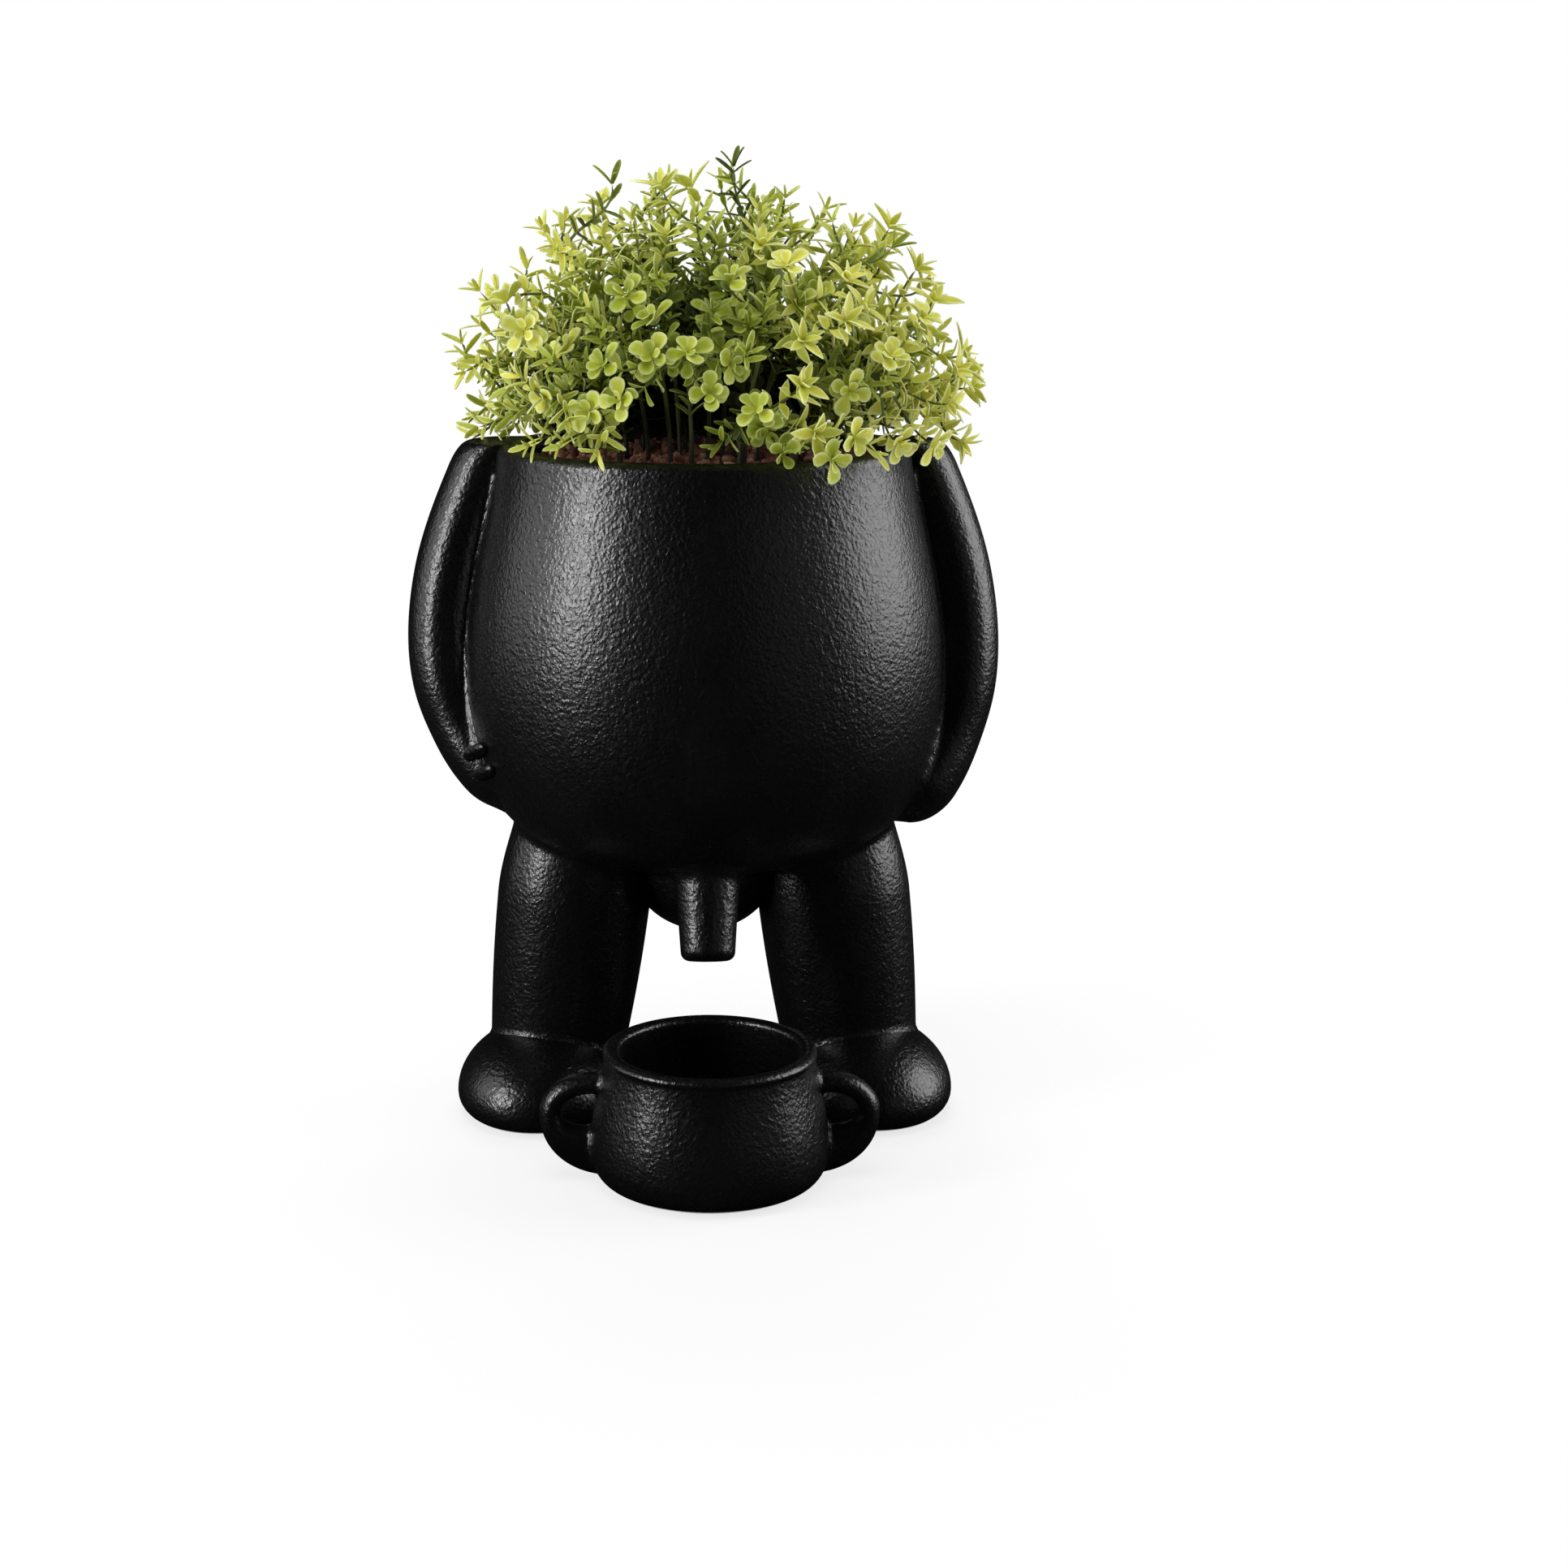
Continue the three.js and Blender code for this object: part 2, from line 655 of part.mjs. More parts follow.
// A sprig: its stem, leaf pairs that turn a quarter from one to the next, a crown at the tip, and a side
// shoot above each pair
function makeSprig(stem) {
  const rings = 2 * (leafPairs + 3);
  const sectionAt = () => [stemDiameter / 2, stemDiameter / 2];
  const { curve, sideways } = stem;
  const pointAt = (along) => [curve.getPoint(along), curve.getTangent(along)];
  let sprig = solidOf(limb(curve, sideways, sectionAt, rings, stemSides));
  for (let pair = 0; pair < leafPairs; pair++) {
    const [foot, heading] = pointAt(ringShare(2 * (pair + 3), rings));
    const side = sideways.clone().applyAxisAngle(heading, (pair * Math.PI) / 2);
    sprig = withWhorl(sprig, stem, foot, heading, side, stemWhorl);
  }
  const [tip, ahead] = pointAt(crownShare);
  sprig = withWhorl(sprig, stem, tip, ahead, sideways, crownWhorl);
  for (let shoot = 0; shoot < leafPairs; shoot++) {
    const [foot, heading] = pointAt(ringShare(2 * (shoot + 3) + 1, rings));
    const side = sideways.clone().applyAxisAngle(heading, (shoot + 0.5) * goldenAngle);
    sprig = withShoot(sprig, stem, foot, heading, side);
  }
  return geometryOf(sprig);
}

// Finishes
const finish = (color, roughness) => new THREE.MeshStandardMaterial({ color, roughness, metalness: 0 });
const foliageGreens = [0x8fa63a, 0xb4bf45, 0x5f7d2c];

function node(name, geometry, material) {
  const mesh = new THREE.Mesh(geometry, material);
  mesh.name = name;
  return mesh;
}

const ceramic = (name, geometry) => node(name, geometry, finish(0x17181a, 0.5));

// The figure, the plant and the catch pot
const figure = new THREE.Group();
figure.add(ceramic("belly_pot", makeBellyPot()));
figure.add(ceramic("drain_spout", makeSpout()));
figure.add(node("drain_screen", makeDrainScreen(), finish(0x3a3d3a, 0.6)));
figure.add(ceramic("seat", makeSeat()));

const catchPot = new THREE.Group();
catchPot.position.y = -catchForward;
catchPot.add(ceramic("catch_bowl", makeCatchBowl()));

for (const [name, side] of Object.entries(sides)) {
  figure.add(ceramic(name + "_arm", makeArm(name)));
  figure.add(ceramic(name + "_leg", cut(makeLeg(side), grownBelly)));
  figure.add(ceramic(name + "_foot", makeFoot(side)));
  catchPot.add(ceramic(name + "_handle", makeCatchHandle(side)));
}

const plant = new THREE.Group();
plant.add(node("coir_plug", makePlug(stems), finish(0x4a3323, 0.95)));
plant.add(node("pebble_bed", makePebbleBed(stems), finish(0x7d4a38, 0.85)));
stems.forEach((stem, i) => {
  const name = "sprig_" + String(i + 1).padStart(2, "0");
  plant.add(node(name, makeSprig(stem), finish(foliageGreens[i % foliageGreens.length], 0.5)));
});

// The whole footprint, from the catch pot's front to the belly's back, is centred on the origin
const planter = new THREE.Group();
planter.add(figure, plant, catchPot);
planter.position.y = (catchForward + catchRadius - bellyDepth / 2) / 2;

const wholePart = new THREE.Group();
wholePart.add(planter);

export default wholePart;
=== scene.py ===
import math
import random

import bmesh
import bpy
from mathutils import Matrix, Vector, noise
from mathutils.bvhtree import BVHTree
from mathutils.geometry import interpolate_bezier


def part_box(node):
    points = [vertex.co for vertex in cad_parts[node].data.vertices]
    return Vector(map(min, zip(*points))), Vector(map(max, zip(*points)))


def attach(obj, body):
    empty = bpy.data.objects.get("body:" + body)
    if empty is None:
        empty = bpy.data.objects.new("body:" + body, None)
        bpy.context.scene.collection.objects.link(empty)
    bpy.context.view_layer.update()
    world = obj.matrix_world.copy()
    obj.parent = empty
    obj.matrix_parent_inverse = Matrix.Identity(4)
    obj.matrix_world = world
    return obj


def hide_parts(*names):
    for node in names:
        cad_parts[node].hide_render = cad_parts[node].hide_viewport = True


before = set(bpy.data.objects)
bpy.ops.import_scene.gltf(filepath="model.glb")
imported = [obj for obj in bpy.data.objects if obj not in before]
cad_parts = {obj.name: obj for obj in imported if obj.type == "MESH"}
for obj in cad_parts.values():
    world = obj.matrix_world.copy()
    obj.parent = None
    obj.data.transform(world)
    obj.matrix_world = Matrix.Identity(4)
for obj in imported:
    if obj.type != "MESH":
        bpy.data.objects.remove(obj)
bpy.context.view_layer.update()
mm = 0.001
scene = bpy.context.scene
scene.view_settings.view_transform = "Standard"
print("frame loaded with", len(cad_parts), "nodes")

# the pot's box gives the axis that the figure and the plant are built round
potLow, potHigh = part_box("belly_pot")
bellyRadius = (potHigh.x - potLow.x) / 2
depthRatio = (potHigh.y - potLow.y) / (potHigh.x - potLow.x)
axisY = (potHigh.y + potLow.y) / 2
rimLevel = potHigh.z
undersideLevel = potLow.z
toPotAxis = Matrix.Translation((0, axisY, 0)) @ Matrix.Diagonal((1, depthRatio, 1, 1))
sideSigns = {"left": -1, "right": 1}
depthWise = Vector((0, 1, 0))
mergeGap = 0.005 * mm
tieGap = 0.0001 * mm


# small tools

def lerp(a, b, share):
    return a + (b - a) * share


def ease(low, high, value):
    share = min(1, max(0, (value - low) / (high - low)))
    return share * share * (3 - 2 * share)


def bezier(steps, *points):
    return interpolate_bezier(*[Vector(point) for point in points], steps + 1)


def arc(across, level, radius, start, end, steps):
    angles = [math.radians(lerp(start, end, i / steps)) for i in range(steps + 1)]
    return [Vector((across + radius * math.cos(a), level + radius * math.sin(a))) for a in angles]


def spun(points, turns, place):  # points are radius and level, spun round Z and then placed
    bm = bmesh.new()
    verts = [bm.verts.new((radius, 0, level)) for radius, level in points]
    edges = [bm.edges.new(pair) for pair in zip(verts, verts[1:])]
    bmesh.ops.spin(bm, geom=verts + edges, cent=(0, 0, 0), axis=(0, 0, 1), dvec=(0, 0, 0),
                   angle=math.tau, steps=turns, use_merge=True)
    bmesh.ops.remove_doubles(bm, verts=bm.verts[:], dist=mergeGap)
    bmesh.ops.recalc_face_normals(bm, faces=bm.faces[:])
    bmesh.ops.transform(bm, matrix=place, verts=bm.verts[:])
    return bm


def rod(radius, low, high, sides, place):
    return spun([(0, low), (radius, low), (radius, high), (0, high)], sides, place)


def station(place, tangent, across, thick, broad):
    along = tangent.normalized()
    inPlane = across.cross(along).normalized()
    rows = Matrix((inPlane * thick, along.cross(inPlane) * broad, along)).transposed()
    return Matrix.Translation(place) @ rows.to_4x4()


def tangents(points):
    ends = zip([points[0], *points], [*points[1:], points[-1]])
    return [(after - before).normalized() for before, after in ends]


def sweepSection(bm, stations, sides):  # a circle carried through the stations, closed at both ends
    first = bmesh.ops.create_circle(bm, segments=sides, radius=1, matrix=stations[0])["verts"]
    edges = list(dict.fromkeys(edge for vert in first for edge in vert.link_edges))
    made = list(first)
    ring = first
    for here, there in zip(stations, stations[1:]):
        grown = bmesh.ops.extrude_edge_only(bm, edges=edges)["geom"]
        ring = [part for part in grown if isinstance(part, bmesh.types.BMVert)]
        fresh = set(ring)
        edges = [part for part in grown
                 if isinstance(part, bmesh.types.BMEdge) and fresh.issuperset(part.verts)]
        bmesh.ops.transform(bm, matrix=there @ here.inverted(), verts=ring)
        made += ring
    for end, place in ((first, stations[0]), (ring, stations[-1])):
        bmesh.ops.pointmerge(bm, verts=end, merge_co=place.translation)
    made = [vert for vert in made if vert.is_valid]
    faces = list(dict.fromkeys(face for vert in made for face in vert.link_faces))
    bmesh.ops.recalc_face_normals(bm, faces=faces)
    return made


leastSideways = 0.2  # a surface that faces the ground more squarely than this isn't spread


def nearestOn(ground, place):  # of faces that lie equally near, the same one in each run
    nearest = ground.find_nearest(place)
    hits = ground.find_nearest_range(place, nearest[3] + tieGap)
    return min([nearest, *hits], key=lambda hit: hit[1][:])[:2]


def seatOn(bm, verts, ground, flare, sink):  # spreads a root over its ground and keeps it in the wall
    bm.normal_update()
    for vert in verts:
        foot, up = nearestOn(ground, vert.co)
        height = (vert.co - foot).dot(up)
        if height >= flare:
            continue
        rise = max(height, 0) / flare
        outward = vert.normal - up * vert.normal.dot(up)
        if outward.length > leastSideways:
            spread = flare * (1 - math.sqrt(max(0, 1 - (1 - rise) ** 2)))
            foot, up = nearestOn(ground, vert.co + outward.normalized() * spread)
        vert.co = foot + up * max(height, -sink)


def groundOf(bm):  # a surface to seat limbs on
    ground = BVHTree.FromBMesh(bm)
    bm.free()
    return ground


def meshFrom(name, bm):
    mesh = bpy.data.meshes.new(name)
    bm.to_mesh(mesh)
    bm.free()
    return mesh


def addObject(name, data):
    thing = bpy.data.objects.new(name, data)
    scene.collection.objects.link(thing)
    return thing


def smooth(mesh):
    mesh.polygons.foreach_set("use_smooth", [True] * len(mesh.polygons))


def finishPiece(name, bm, body, slot, node, *materials):
    mesh = meshFrom(name, bm)
    smooth(mesh)
    piece = addObject(name, mesh)
    for material in materials:
        mesh.materials.append(material)
    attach(piece, body)
    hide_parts(node)
    return piece


def glazed(name, bm, node, body="figure"):
    return finishPiece(name, bm, body, "black_ceramic", node, blackGlaze)


def cutAway(piece, *tools):  # each tool is a bmesh of one closed body
    for tool in tools:
        cutter = addObject("cutter", meshFrom("cutter", tool))
        modifier = piece.modifiers.new("cut", "BOOLEAN")
        modifier.object = cutter
        modifier.operation = "DIFFERENCE"
        modifier.solver = "EXACT"
        depsgraph = bpy.context.evaluated_depsgraph_get()
        cutMesh = bpy.data.meshes.new_from_object(piece.evaluated_get(depsgraph))
        piece.modifiers.clear()
        piece.data = cutMesh
        bpy.data.objects.remove(cutter)


# materials

def feed(tree, node, sockets):  # plugs in another node's output, or sets a plain value
    for name, value in sockets.items():
        if isinstance(value, bpy.types.NodeSocket):
            tree.links.new(value, node.inputs[name])
        else:
            node.inputs[name].default_value = value


def addNode(tree, kind, sockets=None, **settings):
    node = tree.nodes.new(kind)
    for name, value in settings.items():
        setattr(node, name, value)
    feed(tree, node, sockets or {})
    return node


def addMath(tree, operation, *values):
    return addNode(tree, "ShaderNodeMath", dict(enumerate(values)), operation=operation).outputs[0]


def addRange(tree, value, low, high, toLow, toHigh):
    span = {"From Min": low, "From Max": high, "To Min": toLow, "To Max": toHigh}
    return addNode(tree, "ShaderNodeMapRange", {"Value": value, **span}).outputs["Result"]


def addRamp(tree, factor, stops):
    ramp = addNode(tree, "ShaderNodeValToRGB", {"Fac": factor})
    elements = ramp.color_ramp.elements
    while len(elements) < len(stops):
        elements.new(0.5)
    for element, (place, colour) in zip(elements, stops):
        element.position = place
        element.color = (*colour, 1)
    return ramp.outputs["Color"]


def mixColours(tree, blend, factor, first, second):
    sockets = {"Factor": factor, 6: first, 7: second}  # 6 and 7 are the colours
    return addNode(tree, "ShaderNodeMix", sockets, data_type="RGBA", blend_type=blend).outputs[2]


grainLook = {"peelDetail": 2.5, "peelRough": 0.55, "sandFiner": 1.7, "sandSmooth": 0.6, "sandDepth": -0.45,
             "patchDetail": 3, "grainSpan": (0.1, 0.6), "patchSpan": (0.3, 0.7)}


def makeGrainGroup():
    look = grainLook
    group = bpy.data.node_groups.new("sandGrain", "ShaderNodeTree")
    group.interface.new_socket("Vector", in_out="INPUT", socket_type="NodeSocketVector")
    for name in ("Grain", "Wrinkle", "Mottle"):
        group.interface.new_socket(name, in_out="INPUT", socket_type="NodeSocketFloat")
    for name in ("Height", "Patch"):
        group.interface.new_socket(name, in_out="OUTPUT", socket_type="NodeSocketFloat")
    inlet = addNode(group, "NodeGroupInput").outputs
    peel = addNode(group, "ShaderNodeTexNoise", {  # orange peel
        "Vector": inlet["Vector"], "Scale": inlet["Grain"], "Distortion": inlet["Wrinkle"],
        "Detail": look["peelDetail"], "Roughness": look["peelRough"]})
    finer = addMath(group, "MULTIPLY", inlet["Grain"], look["sandFiner"])
    sand = addNode(group, "ShaderNodeTexVoronoi", {
        "Vector": inlet["Vector"], "Scale": finer, "Smoothness": look["sandSmooth"]}, feature="SMOOTH_F1")
    patch = addNode(group, "ShaderNodeTexNoise", {  # slow change over the surface
        "Vector": inlet["Vector"], "Scale": inlet["Mottle"], "Detail": look["patchDetail"]})
    both = addMath(group, "MULTIPLY_ADD", sand.outputs["Distance"], look["sandDepth"], peel.outputs["Fac"])
    addNode(group, "NodeGroupOutput", {"Height": both, "Patch": patch.outputs["Fac"]})
    return group


grainGroup = makeGrainGroup()


def newMaterial(name):
    material = bpy.data.materials.new(name)
    material.use_nodes = True
    return material, material.node_tree


def startMaterial(name, look):
    material, tree = newMaterial(name)
    place = addNode(tree, "ShaderNodeTexCoord").outputs["Object"]
    sockets = {"Vector": place, "Grain": look["grain"], "Wrinkle": look["wrinkle"], "Mottle": look["mottle"]}
    grain = addNode(tree, "ShaderNodeGroup", sockets, node_tree=grainGroup).outputs
    return material, tree, place, grain


def finishMaterial(tree, look, colour, rough, height):
    sockets = {"Strength": look["bump"], "Distance": look["depth"], "Height": height}
    normal = addNode(tree, "ShaderNodeBump", sockets).outputs["Normal"]
    feed(tree, tree.nodes["Principled BSDF"], {
        "Base Color": colour, "Roughness": rough, "Normal": normal, "Specular IOR Level": look["specular"]})


def finishGrained(tree, look, colour, grain):  # gloss and bump from the grain
    rough = addRange(tree, grain["Height"], *grainLook["grainSpan"], *look["rough"])
    finishMaterial(tree, look, colour, rough, grain["Height"])


def plainMaterial(name, look):  # colour from the slow patches
    material, tree, _, grain = startMaterial(name, look)
    finishGrained(tree, look, addRamp(tree, grain["Patch"], look["colours"]), grain)
    return material


glazeLook = {"grain": 900, "wrinkle": 0.7, "mottle": 60, "bump": 0.9, "depth": 0.17 * mm,
             "rough": (0.34, 0.25), "specular": 0.9,
             "colours": [(0.35, (0.0012, 0.0012, 0.0014)), (0.7, (0.0026, 0.0027, 0.003))]}
blackGlaze = plainMaterial("blackGlaze", glazeLook)

# edge and tip give where a leaf pales, partly its own pale margin and partly a painted highlight on the
# raised edges: from, to, and how pale at each
leafLook = {"grain": 2600, "wrinkle": 0.2, "mottle": 240, "bump": 0.25, "depth": 0.08 * mm,
            "rough": (0.52, 0.38), "specular": 0.4, "mottling": 0.5, "edgeAcross": (0.45, 1, 0, 0.9),
            "edgeAlong": (0.1, 0.8, 0.25, 1), "tipAlong": (0.78, 1, 0, 0.8),
            "body": [(0, (0.006, 0.009, 0.003)), (0.3, (0.05, 0.075, 0.003)), (0.55, (0.21, 0.26, 0.01)),
                     (0.75, (0.43, 0.49, 0.03)), (1, (0.71, 0.7, 0.08))],
            "edge": [(0, (0.012, 0.018, 0.006)), (0.3, (0.11, 0.15, 0.02)), (0.6, (0.5, 0.58, 0.14)),
                     (1, (0.9, 0.93, 0.5))],
            "mottles": [(0.3, (0.62, 0.68, 0.5)), (0.65, (1, 1, 1))]}
# the last layer holds each leaf's tone: its own colour together with painted light and painted shade
leafLayers = ("leafAlong", "leafAcross", "leafToneLightAndShade")


def makeLeafGreen():
    look = leafLook
    material, tree, _, grain = startMaterial("leafGreen", look)
    along, across, toneLightAndShade = [addNode(tree, "ShaderNodeAttribute", attribute_name=name).outputs["Fac"]
                           for name in leafLayers]
    # pale margin and tip: partly the leaf's own colour, partly a painted highlight on the raised edges
    paleEdgeAndHighlight = addMath(tree, "MULTIPLY", addRange(tree, across, *look["edgeAcross"]),
                       addRange(tree, along, *look["edgeAlong"]))
    palenessAndHighlight = addMath(tree, "MAXIMUM", paleEdgeAndHighlight, addRange(tree, along, *look["tipAlong"]))
    # body and edge colours follow the tone layer, which holds painted light and painted shade as well as the
    # leaf's own colour
    body, edge = addRamp(tree, toneLightAndShade, look["body"]), addRamp(tree, toneLightAndShade, look["edge"])
    mottle = addRamp(tree, grain["Patch"], look["mottles"])
    green = mixColours(tree, "MIX", palenessAndHighlight, body, edge)
    colour = mixColours(tree, "MULTIPLY", look["mottling"], green, mottle)
    finishGrained(tree, look, colour, grain)
    return material


leafGreen = makeLeafGreen()

stemLook = {"grain": 1800, "wrinkle": 0.6, "mottle": 150, "bump": 0.3, "depth": 0.1 * mm,
            "rough": (0.65, 0.5), "specular": 0.5,
            "colours": [(0.3, (0.06, 0.085, 0.018)), (0.7, (0.2, 0.25, 0.05))],
            "shadeLevels": (rimLevel - 2 * mm, rimLevel + 16 * mm),  # painted shade: the stems are painted darker from the higher level down to the lower one
            "paintedShadeRamp": [(0, (0.06, 0.05, 0.05)), (1, (1, 1, 1))]}


def makeStemGreen():
    look = stemLook
    material, tree, place, grain = startMaterial("stemGreen", look)
    level = addNode(tree, "ShaderNodeSeparateXYZ", {"Vector": place}).outputs["Z"]
    # painted shade: the stems darken towards the plug, inside the pot's mouth
    low = addRamp(tree, addRange(tree, level, *look["shadeLevels"], 0, 1), look["paintedShadeRamp"])
    colour = mixColours(tree, "MULTIPLY", 1, addRamp(tree, grain["Patch"], look["colours"]), low)
    finishGrained(tree, look, colour, grain)
    return material


stemGreen = makeStemGreen()

stoneLook = {"grain": 1500, "wrinkle": 0.4, "mottle": 330, "bump": 0.6, "depth": 0.2 * mm,
             "rough": (0.95, 0.75), "specular": 0.5,
             "colours": [(0.3, (0.1, 0.03, 0.02)), (0.5, (0.36, 0.15, 0.1)), (0.7, (0.72, 0.45, 0.34))]}
redStone = plainMaterial("redStone", stoneLook)

coirLook = {"grain": 700, "wrinkle": 1.2, "mottle": 160, "bump": 0.9, "depth": 0.5 * mm,
            "rough": (0.98, 0.85), "specular": 0.5, "strands": {"Scale": 420, "Detail": 5, "Distortion": 3.5},
            "colours": [(0.32, (0.02, 0.01, 0.005)), (0.5, (0.1, 0.052, 0.024)), (0.68, (0.26, 0.15, 0.075))]}


def makeCoirFibre():
    look = coirLook
    material, tree, place, grain = startMaterial("coirFibre", look)
    strands = addNode(tree, "ShaderNodeTexNoise", {"Vector": place, **look["strands"]}).outputs["Fac"]
    rough = addRange(tree, grain["Patch"], *grainLook["patchSpan"], *look["rough"])
    finishMaterial(tree, look, addRamp(tree, strands, look["colours"]), rough, strands)
    return material


coirFibre = makeCoirFibre()

screenLook = {"grain": 1400, "wrinkle": 0.2, "mottle": 90, "bump": 0.25, "depth": 0.1 * mm,
              "rough": (0.6, 0.48), "specular": 0.5,
              "colours": [(0.3, (0.03, 0.033, 0.03)), (0.7, (0.06, 0.065, 0.06))]}
screenGrey = plainMaterial("screenGrey", screenLook)
print("materials made")

# belly pot

bellyShape = {"rimRadius": 38 * mm, "widestLevel": 82 * mm, "wall": 4 * mm, "floor": 7.5 * mm,
              "floorRadius": 30 * mm, "under": 0.77, "lower": 0.27, "upper": 0.43, "neck": 0.3,
              "neckFlare": 1.6 * mm, "cavity": 0.4, "turns": 160, "skinTop": 40 * mm, "skinTurns": 120}
floorLevel = undersideLevel + bellyShape["floor"]
lipLevel = rimLevel - bellyShape["wall"] / 2


def neckCurve(belly, rim, steps):
    shape = bellyShape
    widest = shape["widestLevel"]
    height = lipLevel - widest
    return bezier(steps, (belly, widest), (belly, widest + height * shape["upper"]),
                  (rim + shape["neckFlare"], lipLevel - height * shape["neck"]), (rim, lipLevel))


def bellyOutline():
    shape = bellyShape
    widest = shape["widestLevel"]
    lower = bezier(40, (0, undersideLevel), (bellyRadius * shape["under"], undersideLevel),
                   (bellyRadius, lerp(undersideLevel, widest, shape["lower"])), (bellyRadius, widest))
    return lower + neckCurve(bellyRadius, shape["rimRadius"], 36)[1:]


def bellyProfile():
    shape = bellyShape
    wall, rim, widest, base = shape["wall"], shape["rimRadius"], shape["widestLevel"], shape["floorRadius"]
    inside = bellyRadius - wall
    lip = arc(rim - wall / 2, lipLevel, wall / 2, 0, 180, 12)[1:]
    neck = neckCurve(inside, rim - wall, 24)[::-1][1:]
    bowl = bezier(20, (inside, widest), (inside, lerp(floorLevel, widest, shape["cavity"])),
                  ((base + inside) / 2, floorLevel), (base, floorLevel))[1:]
    return bellyOutline() + lip + neck + bowl + [Vector((0, floorLevel))]


def bellySkin():  # the outside alone, run straight up past the rim, as the ground that the limbs grow from
    top = rimLevel + bellyShape["skinTop"]
    above = [Vector((bellyShape["rimRadius"], top)), Vector((0, top))]
    return spun(bellyOutline() + above, bellyShape["skinTurns"], toPotAxis)


bellyGround = groundOf(bellySkin())

# drain

drainShape = {"length": 15.5 * mm, "rootRadius": 6.1 * mm, "tipRadius": 4.9 * mm, "tipRound": 1.6 * mm,
              "tilt": 20, "setBack": 16.5 * mm, "root": 4 * mm, "flare": 2.2 * mm, "sink": 1.5 * mm,
              "bore": 2.5 * mm, "boreEdge": 0.4 * mm, "boreMargin": 0.5 * mm, "boreTurns": 48,
              "turns": 64, "sideSteps": 40}
screenShape = {"radius": 7 * mm, "thickness": 1.2 * mm, "edge": 0.25 * mm, "seatGap": 0.3 * mm,
               "seatTurns": 64, "turns": 72, "sharp": 35,
               "hole": 0.9 * mm, "holeRing": 4.1 * mm, "holes": 6, "holeTurns": 24}
spoutY = potLow.y + drainShape["setBack"]
spoutRoot, _, _, _ = bellyGround.ray_cast(Vector((0, spoutY, 0)), Vector((0, 0, 1)))
toSpout = Matrix.Translation(spoutRoot) @ Matrix.Rotation(-math.radians(drainShape["tilt"]), 4, "X")
screenY = spoutY + (floorLevel - spoutRoot.z) * math.tan(math.radians(drainShape["tilt"]))
toScreen = Matrix.Translation((0, screenY, floorLevel))


def makeBellyPot():
    drain, screen = drainShape, screenShape
    pot = glazed("bellyPot", spun(bellyProfile(), bellyShape["turns"], toPotAxis), "belly_pot")
    recess = screen["thickness"] + screen["seatGap"]
    cutAway(pot, rod(screen["radius"] + screen["seatGap"], -recess, recess, screen["seatTurns"], toScreen),
            rod(drain["bore"], -drain["length"], 2 * bellyShape["floor"], drain["boreTurns"], toSpout))


def makeSpout():
    shape = drainShape
    length, root, bore, tipRound = shape["length"], shape["root"], shape["bore"], shape["tipRound"]
    steps = shape["sideSteps"]
    tip = arc(shape["tipRadius"] - tipRound, tipRound - length, tipRound, -90, 0, 8)
    side = [tip[-1].lerp(Vector((shape["rootRadius"], root)), i / steps) for i in range(1, steps + 1)]
    inside = [Vector((bore, root)), Vector((bore, shape["boreEdge"] - length))]
    bm = spun(tip + side + inside + tip[:1], shape["turns"], toSpout)
    inverse = toSpout.inverted()
    outer = [vert for vert in bm.verts if (inverse @ vert.co).xy.length > bore + shape["boreMargin"]]
    seatOn(bm, outer, bellyGround, shape["flare"], shape["sink"])
    glazed("drainSpout", bm, "drain_spout")


def makeScreen():
    shape = screenShape
    radius, thick, edge, hole = shape["radius"], shape["thickness"], shape["edge"], shape["hole"]
    profile = [(hole, -thick), (radius - edge, -thick), (radius, edge - thick), (radius, -edge),
               (radius - edge, 0), (hole, 0), (hole, -thick)]
    screen = finishPiece("drainScreen", spun(profile, shape["turns"], toScreen), "figure", "screen_plastic",
                         "drain_screen", screenGrey)
    halfStep = Matrix.Rotation(math.pi / shape["holeTurns"], 4, "Z")  # keeps corners off the disc's edges
    for i in range(shape["holes"]):
        angle, ring = math.tau * i / shape["holes"], shape["holeRing"]
        spot = Matrix.Translation((ring * math.cos(angle), ring * math.sin(angle), 0))
        cutAway(screen, rod(hole, -2 * thick, thick, shape["holeTurns"], toScreen @ spot @ halfStep))
    smooth(screen.data)
    screen.data.set_sharp_from_angle(angle=math.radians(shape["sharp"]))


makeBellyPot()
makeSpout()
makeScreen()
print("belly pot and drain made")

# feet and legs

footShape = {"width": 32 * mm, "length": 41 * mm, "height": 16 * mm, "soleEdge": 4 * mm, "outset": 2.4 * mm,
             "forward": 6 * mm, "toeOut": 7, "turns": 96}
legShape = {"topRadius": 14.5 * mm, "ankleRadius": 12.6 * mm, "hipInset": 20.75 * mm, "splay": 4.4 * mm,
            "ankleLevel": 8.5 * mm, "bulge": 0.5 * mm, "overRun": 1.45, "intoFoot": -0.1,
            "hipTaper": 2.7 * mm, "hipBand": (0.8, 1.4), "flare": 1.6 * mm, "ankleFlare": 0.6 * mm,
            "sink": 1.6 * mm, "rings": 96, "sides": 88}
hipX = bellyRadius - legShape["hipInset"]
ankleX = hipX + legShape["splay"]


def footMesh(sign):
    shape = footShape
    radius, edge = shape["width"] / 2, shape["soleEdge"]
    sole = arc(radius - edge, edge, edge, -90, 0, 8)
    dome = [Vector((radius * p.x, lerp(edge, shape["height"], p.y))) for p in arc(0, 0, 1, 0, 90, 24)]
    stretch = Matrix.Diagonal((1, shape["length"] / shape["width"], 1, 1))
    turn = Matrix.Rotation(math.radians(sign * shape["toeOut"]), 4, "Z")
    place = Matrix.Translation((sign * (ankleX + shape["outset"]), axisY - shape["forward"], 0))
    return spun([Vector((0, 0))] + sole + dome[1:], shape["turns"], place @ turn @ stretch)


